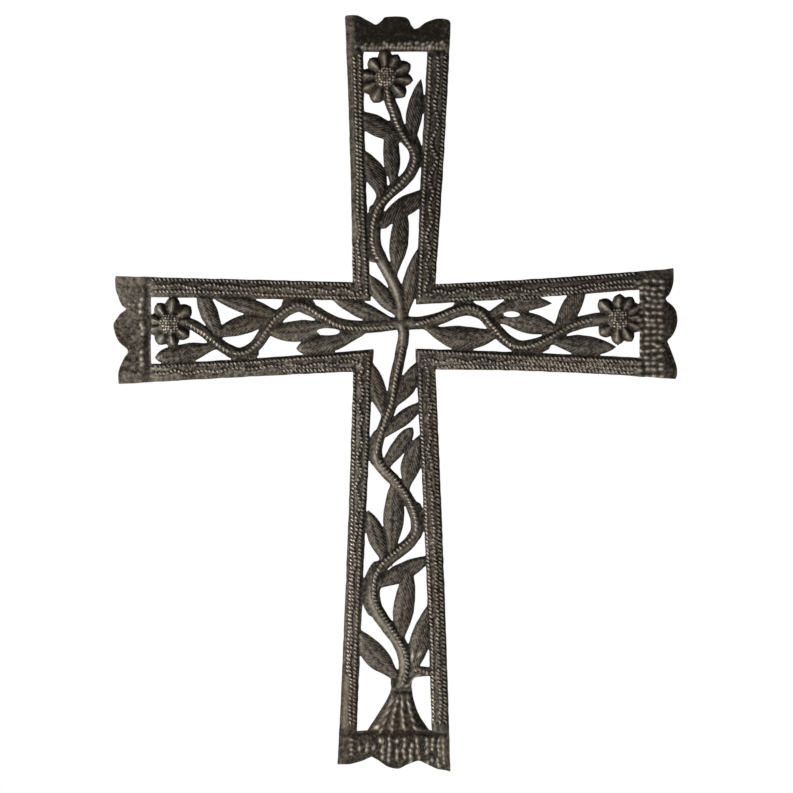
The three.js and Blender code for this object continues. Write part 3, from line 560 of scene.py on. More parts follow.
# Rows of chisel marks: the run of each row, as read along the bands and the stems.
chiselRows = [
    # top arm, left band
    [(-26.8, 210), (-26.5, 180), (-26.2, 150), (-26, 130), (-25, 102), (-24.2, 80), (-23.3, 60),
     (-22.2, 40), (-21, 22)],
    [(-31.4, 208), (-30.5, 185), (-29.6, 155), (-28.7, 125), (-28.6, 95), (-28.5, 84),
     (-26.8, 73), (-28.8, 62), (-27, 50), (-27.6, 36), (-25.6, 26)],
    [(-32.2, 62), (-31.8, 48), (-31.2, 35)],
    # top arm, right band
    [(27.6, 209), (27, 190), (26.4, 165), (25.5, 150), (24, 130), (23.2, 110), (22, 90),
     (21.5, 70), (20.5, 50), (19.8, 30), (19.5, 21)],
    [(33.5, 209), (33.8, 187), (31.5, 175), (31.3, 169), (34, 159), (32.5, 152), (28.8, 142),
     (30, 135), (33, 129), (31, 123), (27, 114), (28, 108), (30, 102), (27.2, 94), (28, 86),
     (28.9, 80), (26.5, 74), (24.7, 69), (26, 63), (27.4, 57), (25.6, 51), (24.2, 47),
     (25.4, 42), (26.4, 37), (24.6, 31), (23.7, 27), (25.2, 23.6), (28.6, 23.4)],
    [(39.4, 209), (38.8, 182), (37.6, 150), (36.4, 130), (34.2, 105), (32.8, 80), (31.2, 58),
     (30.2, 36)],
    # right arm, upper band
    [(44, 19.6), (62, 20.4), (85, 21), (112, 21.8), (125, 24.2), (138, 25.2), (148, 26.8),
     (160, 28.6), (176, 29.6), (186, 30)],
    [(29, 25.4), (35, 26.6), (41, 24.8), (46, 25.2), (53, 27.8), (62, 24.5), (67, 26),
     (73, 28.5), (79, 27.4), (84, 26), (90, 27), (96, 28.5), (104, 26), (110, 26.6),
     (116, 28.6), (124, 27.6), (132, 28.4), (141, 28.6), (148, 31), (160, 31.2), (172, 33.4),
     (187, 34.2)],
    [(33, 31), (50, 31), (64, 31.8), (80, 32.8), (96, 33.6), (112, 34.2), (126, 34.6),
     (140, 35.8), (155, 37), (172, 38.4), (187, 40.2)],
    # right arm, lower band
    [(19, -20.4), (30, -21), (50, -22), (70, -23.2), (90, -24.6), (110, -25.5), (130, -25.7),
     (150, -26.6), (170, -27.7), (187, -28.4)],
    [(22, -28), (27, -26.6), (33, -28.6), (38, -29), (44, -26.4), (51, -27.6), (57, -29.5),
     (63, -28), (69, -26.6), (75, -28.6), (81, -30), (91, -28.2), (98, -29), (105, -30.4),
     (112, -29.6), (121, -30.6), (130, -31.4), (140, -33.4), (150, -32), (162, -33.2),
     (175, -34), (187, -33.2)],
    [(32, -33.2), (50, -32.2), (72, -32.6), (96, -33.2), (116, -34), (140, -35.2), (164, -36.2),
     (184, -37.4)],
    [(104, -28), (120, -28.4), (136, -30.4), (152, -29.6), (170, -31)],
    # left arm, upper band
    [(-187, 26), (-165, 26), (-148, 25.6), (-135, 25), (-115, 24.8), (-100, 23.3), (-85, 22.9),
     (-65, 22), (-45, 21.4), (-28, 20.8)],
    [(-187, 30), (-175, 30.2), (-167, 31.4), (-160, 29), (-153, 28.5), (-145, 31), (-139, 31.2),
     (-134, 29.4), (-128, 30.2), (-118, 28.4), (-110, 28), (-101, 29.6), (-92, 27.4),
     (-83, 28.8), (-76, 27), (-69, 26), (-62, 28), (-56, 27.2), (-50, 25.4), (-42, 28),
     (-37, 27.2), (-32, 24.8), (-27, 24.2)],
    [(-187, 35.5), (-165, 35.3), (-145, 34.9), (-125, 34.3), (-105, 33.4), (-80, 32.7),
     (-55, 32.2), (-33, 31.2)],
    # left arm, lower band
    [(-187, -32), (-170, -31.2), (-150, -30.5), (-130, -30.1), (-110, -29), (-90, -27.4),
     (-70, -26), (-50, -24.7), (-35, -23.5), (-20, -22.4)],
    [(-187, -37.6), (-177, -37.6), (-170, -35), (-162, -38), (-155, -36.8), (-148, -35.4),
     (-138, -36.6), (-130, -34.2), (-121, -33), (-113, -34.1), (-101, -32.6), (-94, -31.5),
     (-88, -32.5), (-81, -30.5), (-75, -31.5), (-69, -32.5), (-61, -30.2), (-54, -30.4),
     (-46, -31), (-41, -27.8), (-33, -28), (-26, -30.6), (-25, -35), (-27.6, -39.5),
     (-26.4, -45), (-24.4, -50.5), (-25, -56), (-28.2, -62), (-27, -67), (-24.6, -72),
     (-27.4, -79), (-26, -87), (-25.4, -94), (-28.8, -101.5), (-28, -107), (-25.6, -114),
     (-28, -120), (-30, -126), (-27, -135), (-26.6, -140), (-29.6, -149), (-29.2, -158),
     (-32, -173), (-30.2, -183), (-32.8, -197), (-32, -212), (-34, -228), (-33, -245),
     (-35, -262), (-33.4, -280), (-34.6, -296), (-34, -308)],
    [(-88, -35.6), (-68, -35.2), (-48, -34.7), (-32, -34.2)],
    # bottom arm, left band
    [(-19.8, -24), (-20.6, -45), (-20.8, -70), (-21.6, -95), (-22.6, -116), (-24.2, -136),
     (-26, -155), (-27, -178), (-28.2, -205), (-29.2, -232), (-30.4, -258), (-31, -285),
     (-31, -309)],
    [(-31.4, -38), (-31.6, -70), (-32, -105), (-33, -150), (-34, -190), (-35.4, -235),
     (-36.6, -270)],
    # bottom arm, right band
    [(20, -36), (20, -58), (20.8, -76), (22, -96), (22.8, -114), (23.6, -132), (24.6, -155),
     (25.6, -176), (26.8, -198), (28, -220), (29, -248), (29.6, -275), (30, -306)],
    [(24, -31), (26, -38), (26.4, -44), (25.4, -52), (28, -61), (27.8, -67), (25.9, -75),
     (28, -85), (27.6, -91), (26.2, -97), (29.4, -109), (27.2, -121), (29.8, -135),
     (29, -145), (31, -159), (30.4, -168), (31.8, -181), (32.6, -195), (32, -205),
     (33.4, -220), (34, -236), (33.4, -247), (35, -262), (34, -271), (36, -288), (35.2, -308)],
    [(30.6, -37), (30.9, -60), (31.8, -86), (32.6, -110), (34, -140), (34.8, -165),
     (35.8, -190), (37, -222), (38.3, -252), (39, -282), (39.6, -308)],
    # stems
    [(-6, 183), (-4.5, 175), (-2, 166), (1.8, 156), (6.4, 147), (11, 139.4), (14.6, 133),
     (15.4, 127), (12.4, 119), (6, 111.4), (-0.4, 104.4), (-7, 98), (-12.2, 92),
     (-15.6, 84), (-17.4, 75), (-17.8, 66), (-16.4, 58), (-13, 51)],
    [(-123, -22), (-116, -21.6), (-110, -18), (-104, -12), (-99, -4), (-94, 3), (-87, 9.4),
     (-80, 13.6), (-74, 15.6), (-67, 13.6), (-60, 9), (-52, 4), (-45, 0), (-38, -2),
     (-28, -2.6), (-14, -2.6), (-2, -1.6)],
    [(-160, 0.2), (-151, -5), (-142.6, -11.4), (-135, -17), (-128, -21)],
    [(18, 1.2), (28, 4), (36, 7), (44, 10.4), (50, 12.6), (58, 13.4), (64, 11.8), (69.6, 7),
     (74, 1), (78, -3.4), (83, -9.6), (88, -14), (94, -17), (102, -17.4), (110, -15),
     (118, -11), (124, -8), (131, -4), (140, 0.4), (152, 3.6)],
    [(5.6, -18), (3.6, -30), (1.6, -38), (0, -46), (-1.4, -55), (-3.2, -63), (-6, -70),
     (-8.2, -77), (-10.6, -85), (-12.6, -92), (-13.2, -98)],
    [(-11, -106), (-5, -113.6), (0, -118.4), (5, -125), (10, -132.6), (13.4, -140.4),
     (16.4, -150), (16.8, -157), (14.8, -163.2), (9, -169), (2, -175), (-6, -181.2),
     (-11, -187.4), (-14.8, -195), (-16, -203), (-15.6, -211), (-12.6, -219), (-8, -226.4),
     (-3, -233.6), (2, -241.4), (7, -250.4), (9.8, -259), (9.8, -266), (8, -273.4), (6.4, -279)],
    [(17, -267), (22, -268.4), (28, -270.6)],
]
rowWork = {
    "pitch": 3.08, "markHalfLength": 1.35, "markHalfWidth": 0.8, "markLift": 0.32,
    "markPower": 2.2, "markEdge": 1.35, "lean": 30, "leanToward": -45, "onStem": 0.72,
    "step": 1.6, "reachAcross": 2.3, "farthest": 4, "ropeRise": 0.35, "ropeHalfWidth": 1.3,
    "hollowHalfWidth": 0.8, "hollowDepth": 0.12,  # the low strip on either side of a rope
}

# Ropes: each row of chisel marks rides on a low ridge.
rowRuns = [smoothRun(run, rowWork["step"]) for run in chiselRows]
rowOnStem = []
for run in rowRuns:
    middle = ((run[len(run) // 2] - fieldLow) / sheet["fieldPitch"]).astype(int)
    rowOnStem.append(frameAway[middle[1], middle[0]] > 0)
rowNumber = np.full(fieldX.shape, -1)
rowAway = np.full(fieldX.shape, 1e3)
for number, run in enumerate(rowRuns):
    part = windowOf(run, rowWork["reachAcross"] + 1)
    away = fromRun(run, fieldX[part], fieldZ[part])[0]
    nearer = away < rowAway[part]
    reached = nearer & (away < rowWork["farthest"])
    rowNumber[part] = np.where(reached, number, rowNumber[part])
    rowAway[part] = np.where(nearer, away, rowAway[part])
rope = np.exp(-(rowAway / rowWork["ropeHalfWidth"]) ** 2)
hollow = np.exp(-((rowAway - rowWork["reachAcross"]) / rowWork["hollowHalfWidth"]) ** 2)
height += settle * (rowWork["ropeRise"] * rope - rowWork["hollowDepth"] * hollow)
print("rows laid:", len(rowRuns))

# Punches on the ends. Each mark has its middle, half length, half width, turn in degrees and rise.
endPunches = {
    "seed": 8,
    "rightFirst": (190.4, 34), "rightPitch": (5.3, 4.9), "rightColumns": 4, "rightLines": 16,
    "rightRise": 1.05,
    "bottomTop": -318.5, "bottomRise": 1.25,
    "bottomColumns": (-9, -3.6, 2.4, 7.8, 13, 18.5, 25.4, 30, 34.4, 38),
    "bottomDots": (-321.6, -325.4, -329, -332.6), "bottomDents": (
        (-21, -325.4), (-21.4, -329.4), (-27, -328.4), (-16, -327.4), (-11, -322), (-9.6, -330),
    ),
    "topFirst": -25, "topPitch": 2.75, "topCount": 24, "topRows": (215.2, 218.2), "topDents": (
        (36.6, 219.2), (12, 218.6), (17.4, 218.8), (22.2, 217.8), (27.4, 216.4), (-30, 216),
    ),
    "leftDents": (20.5, 16, 10.4, 1, -2, -6.4, -20.6, -26, -30.6),
    "neckHighlights": (
        (14.2, -257, 3.2, 1.1, 82), (20, -254.6, 3.2, 1.2, 58), (13.8, -275.6, 3.6, 1, 52),
        (18.4, -266.4, 2.6, 0.9, -12), (-13.4, -311.4, 2.4, 1.5, 40), (9.8, -279.4, 2.4, 1, 20),
        (17.4, -272.6, 2.6, 0.9, 28),
    ),
}
punches = []
chance = np.random.default_rng(endPunches["seed"])


def punch(x, z, halfLength, halfWidth, turn, rise):
    punches.append((x, z, halfLength, halfWidth, turn, rise))


firstX, firstZ = endPunches["rightFirst"]
pitchX, pitchZ = endPunches["rightPitch"]
for line in range(endPunches["rightLines"]):
    z = firstZ - line * pitchZ
    for column in range(endPunches["rightColumns"]):
        x = firstX + column * pitchX + (line % 2) * 0.6 + chance.normal(0, 0.5)
        if x < 191 and z > 18 and chance.random() < 0.4:
            continue
        rise = endPunches["rightRise"] * chance.uniform(0.5, 1.15)
        turn = chance.uniform(-25, 25)
        punch(x, z + chance.normal(0, 0.5), 1.9, 1.15, turn, rise)
for x in endPunches["bottomColumns"]:
    z = endPunches["bottomTop"] - chance.uniform(0, 2)
    while z > -337 - max(0, x - 18) * 0.2:
        halfLength = chance.uniform(1.1, 2.5)
        slim = chance.uniform(0.75, 1.2)
        rise = endPunches["bottomRise"] * chance.uniform(0.5, 1.15) * (0.5 if x < -5 else 1)
        turn = 90 + chance.uniform(-16, 16)
        if chance.random() < 0.86:
            punch(x + chance.normal(0, 0.45), z - halfLength, halfLength, slim, turn, rise)
        z -= 2 * halfLength + chance.uniform(0.4, 1.1)
for z in endPunches["bottomDots"]:
    punch(-33.4 + chance.normal(0, 0.2), z, 1.1, 0.9, 0, 0.6)
for x, z in endPunches["bottomDents"]:
    punch(x, z, 1.9, 1, 80, 0.5)
lowRow, highRow = endPunches["topRows"]
for k in range(endPunches["topCount"]):
    x = endPunches["topFirst"] + k * endPunches["topPitch"]
    punch(x, lowRow - (x > 18) * 0.4 + chance.normal(0, 0.3), 1.2, 0.9, 60, 0.34)
    if chance.random() < 0.62:
        punch(x + chance.normal(0, 0.5), highRow + chance.normal(0, 0.5), 1.1, 0.8, 50, 0.3)
for x, z in endPunches["topDents"]:
    punch(x, z, 1.4, 1.1, 45, 0.5)
for z in endPunches["leftDents"]:
    punch(-195.6 + chance.normal(0, 0.8), z, 1.7, 1.3, 70, 0.6)
# Broken strokes down the root's flutes, and painted highlights round its neck on small raised
# patches.
for flute in range(5):
    shareAcross = root["firstFlute"] + flute * root["fluteSpacing"]
    z = -289.0 - chance.uniform(0, 3)
    while z > -313 and shareAcross < 0.95:
        left, right = (np.interp(-z, -side[:, 1], side[:, 0]) for side in (rootLeft, rootRight))
        x = left + shareAcross * (right - left)
        leanOut = math.degrees(math.atan2(24, (shareAcross - 0.5) * 44))
        long = chance.uniform(1.2, 3) if flute else 2.9
        rise = chance.uniform(0.5, 1.1)
        punch(x + chance.normal(0, 0.5), z - long, long, 0.85, -leanOut, rise)
        z -= 2 * long + chance.uniform(0.8, 2.4)
# Painted highlights: small raised patches round the neck, made bright in colour where the light
# catches the stalk.
for x, z, halfLength, halfWidth, turn in endPunches["neckHighlights"]:
    punch(x, z, halfLength, halfWidth, turn, 0.7)
punchShade = np.zeros(fieldX.shape)
for x, z, halfLength, halfWidth, turn, rise in punches:
    part = windowOf(np.array([[x, z]]), halfLength * 2.2)
    dx, dz = fieldX[part] - x, fieldZ[part] - z
    c, s = math.cos(math.radians(turn)), math.sin(math.radians(turn))
    spread = ((dx * c + dz * s) / halfLength) ** 2 + ((dz * c - dx * s) / halfWidth) ** 2
    bump = np.exp(-spread ** 1.3)
    height[part] += rise * bump
    punchShade[part] = np.maximum(punchShade[part], bump)
print("punched:", len(punches), "marks")

# Hollows and lumps. The groove and the ledge have their place, half width and depth.
hammering = {
    "lumpRise": 0.1, "leftGroove": (-192, 1.6, 0.5), "ledge": (-316.4, 1.1, 0.85),
    "neckAt": (5, -284), "neckSize": (6.5, 2.2), "neckDepth": 1.7,
    "longDents": 0.09, "shortDents": 0.05, "leastRise": 0.12, "mostRise": 5.2,
}
# The left end is beaten in lumps, with a groove where the band's window ends.
leftEnd = (armName == "left") & (endDepth < frameShape["endBand"] + 2)
lumps = hammering["lumpRise"] * waves(fieldX, fieldZ, 9, 4, 11)
at, wide, deep = hammering["leftGroove"]
groove = deep * np.exp(-((fieldX - at) / wide) ** 2)
height += np.where(leftEnd, lumps - groove, 0)
# A ledge crosses the foot where the root and the bands meet the bottom end.
at, wide, deep = hammering["ledge"]
ledge = deep * np.exp(-((fieldZ - at - 1.1 * np.cos(fieldX / 13)) / wide) ** 2)
height -= np.where((armName == "bottom") & (np.abs(fieldX) < 42), ledge, 0)
# The root's neck is pinched below the stem.
fromNeckX = (fieldX - hammering["neckAt"][0]) / hammering["neckSize"][0]
fromNeckZ = (fieldZ - hammering["neckAt"][1]) / hammering["neckSize"][1]
height -= hammering["neckDepth"] * np.exp(-fromNeckZ ** 2) * np.exp(-fromNeckX ** 2)
height += hammering["longDents"] * waves(fieldX, fieldZ, 30, 8, 5)
height += hammering["shortDents"] * waves(fieldX, fieldZ, 9, 3.5, 6)
height *= 1 - 0.55 * (1 - smoothStep(topDepth, 12, frameShape["topFlat"]))
height = np.clip(blur(height, 1, 1), hammering["leastRise"], hammering["mostRise"])

# The chisel left some of it smooth: outer strips of bands and stretches of stem.
outerStrip = np.where(inBand & (fromOuter < 7.5), 1.0, 0.0)
smoothField = blur(np.maximum(outerStrip, 0.35 * stemShade * (1 - insideBand)), 1, 1)
smoothField *= smoothStep(rowAway, 1.5, 2.9)

# Places rubbed bright, and bands painted lighter where the light from below and the left falls on
# them: a run, how wide and how strongly.
rubbedAndLitPlaces = [
    ([(24, -28.6), (60, -29.6), (120, -31), (184, -33)], 6.5, 0.75),
    ([(44, 20.4), (88, 21), (122, 22)], 3.4, 1),
    ([(86, 5), (112, 1.6), (121, -3)], 4.5, 0.6),
    ([(46, -13), (60, -11), (73, -5)], 5, 0.5),
    ([(-184, -35), (-110, -32), (-30, -29)], 6.5, 0.6),
    ([(-184, 27), (-110, 26), (-30, 23)], 4, 0.45),
    ([(-36, 236), (-34, 140), (-32, 60), (-30, 40)], 4, 0.2),
    ([(-27, 30), (-27, -60), (-31, -180), (-37, -306)], 7, 0.12),
    ([(24, -36), (28, -120), (35, -306)], 6, 0.5),
    ([(26, 200), (24, 110), (21, 30)], 4, 0.3),
    ([(-206, 30), (-212, 0), (-206, -36)], 11, 0.2),
    ([(2, -326), (20, -327), (38, -331)], 7, 0.15),
    ([(-166, 2.4), (-148, -8), (-128, -21)], 2.6, 0.25),
    ([(-16, -104), (-6, -116), (4, -126)], 3, 0.35),
    ([(-184, -1), (-188, 22), (-186, -24)], 3, 0.3),
]
rubbedAndLitField = np.zeros(fieldX.shape)
for places, halfWidth, strength in rubbedAndLitPlaces:
    run = smoothRun(places, 3)
    part = windowOf(run, halfWidth * 1.6)
    away = fromRun(run, fieldX[part], fieldZ[part])[0]
    spot = strength * (1 - smoothStep(away, 0.5 * halfWidth, 1.5 * halfWidth))
    rubbedAndLitField[part] = np.maximum(rubbedAndLitField[part], spot)

# Where hands and the wind have worn it light, where it is darker and rougher in the hollows, and
# where painted shade with some soot darkens it.
shadeAndGrime = {
    "topEnd": 0.9, "upward": 0.3, "foot": 0.35, "rightEnd": 0.35, "leaves": 0.45, "leftGroove": 0.7,
    "facingUp": 0.15, "petals": 0.85,
}
raised = np.clip((height - blur(height, 5, 2)) / 0.7, -1, 1)
wearField = np.clip(0.75 * np.maximum(raised, 0) + 0.35 * (1 - smoothStep(-sheetAway, 0, 1.3)), 0, 1)
# Darker and rougher in the hollows, by how far a place lies below its surroundings.
hollownessField = np.clip(-raised, 0, 1)
unpunched = 1 - punchShade
# Painted shade, with some soot: darker over the top end, toward the upper right and on the upper
# leaves, away from the light from below and the left; darker between the punches of the foot and the
# right end, and in the left end's groove.
shadeAndSootField = shadeAndGrime["topEnd"] * smoothStep(fieldZ, 214, 221) * smoothStep(fieldX, -33, -28)
upward = smoothStep(fieldX * 0.35 + fieldZ, 20, 110) * smoothStep(216 - fieldZ, 0, 4)
shadeAndSootField += shadeAndGrime["upward"] * upward
shadeAndSootField += shadeAndGrime["foot"] * smoothStep(-fieldZ, 300, 316) * unpunched
shadeAndSootField += shadeAndGrime["rightEnd"] * smoothStep(fieldX, 186, 194) * unpunched
shadeAndSootField += shadeAndGrime["leaves"] * smoothStep(fieldZ, 10, 90) * leafShade
inGroove = np.exp(-((fieldX + 192.4) / 2.4) ** 2)
shadeAndSootField += np.where(leftEnd, shadeAndGrime["leftGroove"] * inGroove * unpunched, 0)
shadeAndSootField = blur(np.clip(shadeAndSootField, 0, 1), 2, 2)
# Painted shade on what faces up and to the right, away from the light, most of all on the petals.
fallZ, fallX = np.gradient(height, sheet["fieldPitch"])
facingUp = np.clip(-(0.55 * fallX + 0.85 * fallZ) / 0.5, 0, 1)
onPetal = petalShade * (discAway > 0)
upwardShade = facingUp * (shadeAndGrime["facingUp"] + shadeAndGrime["petals"] * onPetal)
shadeAndSootField = np.clip(shadeAndSootField + upwardShade, 0, 1)
print("relief worked out, highest", round(float(height.max()), 2), "mm")


def sample(field, px, pz):
    fx = np.clip((px - fieldLow[0]) / sheet["fieldPitch"], 0, columns - 1.001)
    fz = np.clip((pz - fieldLow[1]) / sheet["fieldPitch"], 0, lines - 1.001)
    ix, iz = fx.astype(int), fz.astype(int)
    tx, tz = fx - ix, fz - iz
    low = field[iz, ix] * (1 - tx) + field[iz, ix + 1] * tx
    high = field[iz + 1, ix] * (1 - tx) + field[iz + 1, ix + 1] * tx
    return low * (1 - tz) + high * tz


def readAll(items, key, width, kind=float):
    values = np.empty(len(items) * width, kind)
    items.foreach_get(key, values)
    return values.reshape(-1, width)


# A grid the size of the whole cross is cut to the outline, then hammered into shape.
bpy.ops.object.select_all(action="DESELECT")
cellsX, cellsZ = (int(round(size / sheet["meshPitch"])) for size in fieldHigh - fieldLow)
bpy.ops.mesh.primitive_grid_add(x_subdivisions=cellsX, y_subdivisions=cellsZ, size=1)
cross = bpy.context.active_object
cross.name = "hammered_cross"
mesh = cross.data
co = readAll(mesh.vertices, "co", 3)
px, pz = ((co[:, k] + 0.5) * (fieldHigh[k] - fieldLow[k]) + fieldLow[k] for k in (0, 1))
mesh.vertices.foreach_set("co", np.stack([px, np.zeros_like(px), pz], 1).ravel())
corners = readAll(mesh.loops, "vertex_index", 1, int).reshape(-1, 4)
keep = sample(sheetAway, px[corners].mean(1), pz[corners].mean(1)) < 0
bpy.ops.object.mode_set(mode="EDIT")
bpy.ops.mesh.select_mode(type="FACE")
bpy.ops.mesh.select_all(action="DESELECT")
bpy.ops.object.mode_set(mode="OBJECT")
mesh.polygons.foreach_set("select", ~keep)
bpy.ops.object.mode_set(mode="EDIT")
bpy.ops.mesh.delete(type="FACE")
bpy.ops.object.mode_set(mode="OBJECT")
mesh = cross.data
count = len(mesh.vertices)
print("blank cut:", count, "corners")

co = readAll(mesh.vertices, "co", 3)
px, pz = co[:, 0].copy(), co[:, 2].copy()
edges = readAll(mesh.edges, "vertices", 2, int)
corners = readAll(mesh.loops, "vertex_index", 1, int).reshape(-1, 4)
uses = np.bincount(readAll(mesh.loops, "edge_index", 1, int)[:, 0], minlength=len(edges))
rimEdges = edges[uses == 1]
onRim = np.zeros(count, bool)
onRim[rimEdges.ravel()] = True


def averaged(values, pairs):
    total = np.zeros(count)
    number = np.zeros(count)
    for a, b in ((0, 1), (1, 0)):
        np.add.at(total, pairs[:, a], values[pairs[:, b]])
        np.add.at(number, pairs[:, a], 1)
    return total / np.maximum(number, 1)


slopeZ, slopeX = np.gradient(sheetAway, sheet["fieldPitch"])
for turn in range(7):  # the rim is drawn onto the outline, and the faces beside it follow
    if turn:
        px, pz = (np.where(onRim, 0.5 * p + 0.5 * averaged(p, rimEdges), p) for p in (px, pz))
    for _ in range(2):
        off = sample(sheetAway, px, pz)
        gx, gz = sample(slopeX, px, pz), sample(slopeZ, px, pz)
        steep = np.maximum(gx * gx + gz * gz, 0.2)
        px = np.where(onRim, px - np.clip(off * gx / steep, -0.6, 0.6), px)
        pz = np.where(onRim, pz - np.clip(off * gz / steep, -0.6, 0.6), pz)
    near = (~onRim) & (sample(sheetAway, px, pz) > -1.7 * sheet["meshPitch"])
    px, pz = (np.where(near, 0.4 * p + 0.6 * averaged(p, edges), p) for p in (px, pz))


def alongRow(number, qx, qz):  # how far along a row and across it, leaning as its marks do
    away, side, gone, _, heading = fromRun(rowRuns[number], qx, qz)
    off = 2 * (math.radians(rowWork["leanToward"] - 90) - heading)
    lean = math.radians(rowWork["lean"]) * np.sin(off)
    across = away * side * (rowWork["onStem"] if rowOnStem[number] else 1)
    return gone + 40 * number + np.tan(lean) * away * side, across


def rowsNear(qx, qz):  # each row with the places that lie nearest to it
    ix = np.clip(np.round((qx - fieldLow[0]) / sheet["fieldPitch"]).astype(int), 0, columns - 1)
    iz = np.clip(np.round((qz - fieldLow[1]) / sheet["fieldPitch"]).astype(int), 0, lines - 1)
    nearest = rowNumber[iz, ix]
    for number in range(len(rowRuns)):
        chosen = np.nonzero(nearest == number)[0]
        if len(chosen):
            yield number, chosen


markLift = np.zeros(count)
for number, chosen in rowsNear(px, pz):
    along, across = alongRow(number, px[chosen], pz[chosen])
    turns = along / rowWork["pitch"]
    off = (turns - np.floor(turns) - 0.5) * rowWork["pitch"]
    spread = np.abs(across / rowWork["markHalfLength"]) ** rowWork["markPower"]
    spread += np.abs(off / rowWork["markHalfWidth"]) ** rowWork["markPower"]
    markLift[chosen] = smoothStep(rowWork["markEdge"] - spread, 0, 1.05)
front = sheet["thickness"] + sample(height, px, pz) + rowWork["markLift"] * markLift
placed = np.stack([px - hanging["across"], -front, pz - hanging["up"]], 1) / 1000
mesh.vertices.foreach_set("co", placed.ravel())

# Paths for the chisel: along and across the nearest row or leaf, face by face.
nowhere = 99.0
faceX, faceZ = px[corners].mean(1), pz[corners].mean(1)
rowPath = np.full((len(corners), 4, 2), nowhere)
for number, chosen in rowsNear(faceX, faceZ):
    along, across = alongRow(number, px[corners[chosen]], pz[corners[chosen]])
    rowPath[chosen] = np.stack([along, across], -1)
leafPath = np.full((len(corners), 4, 2), nowhere)
leafBest = np.full(len(corners), 1e3)
for number, stroke in enumerate(s for s in strokes if s["kind"] in ("leaf", "petal")):
    run, widths = stroke["run"], stroke["halfWidths"]
    room = widths.max() + 1
    low, high = run.min(0) - room, run.max(0) + room
    inside = (faceX > low[0]) & (faceX < high[0]) & (faceZ > low[1]) & (faceZ < high[1])
    chosen = np.nonzero(inside)[0]
    away, _, _, half, _ = follow(run, widths, faceX[chosen], faceZ[chosen])
    better = (away / half < leafBest[chosen]) & (away < half + 0.8)
    chosen = chosen[better]
    leafBest[chosen] = (away / half)[better]
    away, side, gone, _, _ = follow(run, widths, px[corners[chosen]], pz[corners[chosen]])
    leafPath[chosen] = np.stack([gone + 7.3 * number, away * side], -1)

while mesh.uv_layers:
    mesh.uv_layers.remove(mesh.uv_layers[0])
for name, values in (("rowPath", rowPath), ("leafPath", leafPath)):
    layer = mesh.uv_layers.new(name=name)
    layer.data.foreach_set("uv", values.ravel())
shades = {
    "leafShade": leafShade * (1 - insideBand) * (1 - stemShade),
    "discShade": smoothStep(-discAway, -0.6, 0.6),
    "smoothShade": smoothField, "sootShade": shadeAndSootField, "wearShade": wearField,
    "dirtShade": hollownessField, "punchShade": punchShade, "rubbedShade": rubbedAndLitField,
}
for name, field in shades.items():
    layer = mesh.attributes.new(name, "FLOAT", "POINT")
    layer.data.foreach_set("value", np.clip(sample(field, px, pz), 0, 1).astype(np.float32))
print("hammered:", len(mesh.polygons), "front faces")

# The sheet gets its thickness, and its back, which faces the wall, fewer faces.
cross.vertex_groups.new(name="backFace")
thick = cross.modifiers.new("sheetThickness", "SOLIDIFY")
thick.thickness = sheet["thickness"] / 1000
thick.offset = -1
bpy.ops.object.modifier_apply(modifier=thick.name)
backCorners = list(range(count, len(cross.data.vertices)))
cross.vertex_groups["backFace"].add(backCorners, 1.0, "REPLACE")
before = len(cross.data.polygons)
fewer = cross.modifiers.new("fewerBackFaces", "DECIMATE")
fewer.vertex_group = "backFace"
fewer.ratio = 0.5 + sheet["backKept"] / 2
bpy.ops.object.modifier_apply(modifier=fewer.name)
bpy.ops.object.shade_smooth_by_angle(angle=math.radians(38))
faces = cross.data.polygons
triangles = sum(len(face.vertices) - 2 for face in faces)
print("sheet thickened:", before, "faces, then", len(faces), "and", triangles, "triangles")
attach(cross, "root")
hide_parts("cross")

# Dark hammered steel, worn light along the marks and brown where it has rusted under the coat.
steel = {
    "dark": (0.036, 0.031, 0.0245, 1),
    "grey": (0.235, 0.208, 0.168, 1),
    "worn": (0.66, 0.6, 0.5, 1),
    "brown": (0.085, 0.05, 0.03, 1),
    "green": (0.05, 0.055, 0.032, 1),
    # painted shade, with soot; also the painted shade between the marks of a row
    "shadeAndSoot": (0.012, 0.01, 0.008, 1),
    "markRise": 0.55,
    "veinSpacing": 3.6, "veinSlope": 1.7, "veinRise": 0.2, "dotSpacing": 2.2, "dotRise": 0.8,
}
material = bpy.data.materials.new("hammered_steel")
material.use_nodes = True
tree = material.node_tree
tree.nodes.clear()


def node(kind, inputs=(), **settings):
    made = tree.nodes.new(kind)
    for key, value in settings.items():
        setattr(made, key, value)
    for key, value in dict(inputs).items():
        if isinstance(value, bpy.types.NodeSocket):
            tree.links.new(value, made.inputs[key])
        else:
            made.inputs[key].default_value = value
    return made


def reckon(operation, a, b=0.0, c=0.0):
    return node("ShaderNodeMath", {0: a, 1: b, 2: c}, operation=operation).outputs[0]


def chained(operation, parts):
    total = parts[0]
    for part in parts[1:]:
        total = reckon(operation, total, part)
    return total


def times(*parts):
    return chained("MULTIPLY", parts)


def plus(*parts):
    return chained("ADD", parts)


def less(a, b):
    return reckon("SUBTRACT", a, b)


def weighed(*pairs):
    return plus(*(times(value, weight) for value, weight in pairs))


def ramp(value, low, high, start=0.0, end=1.0):
    return node("ShaderNodeMapRange", {"Value": value, "From Min": low, "From Max": high,
                                       "To Min": start, "To Max": end},
                interpolation_type="SMOOTHSTEP").outputs["Result"]


def blend(factor, a, b):
    return node("ShaderNodeMix", {0: factor, 6: a, 7: b}, data_type="RGBA").outputs[2]


def shade(name):
    return node("ShaderNodeAttribute", attribute_name=name).outputs["Fac"]


def path(name):
    parts = node("ShaderNodeSeparateXYZ", {0: node("ShaderNodeUVMap", uv_map=name).outputs[0]})
    return parts.outputs[0], parts.outputs[1]


coordinates = node("ShaderNodeTexCoord").outputs
place = coordinates["Object"]


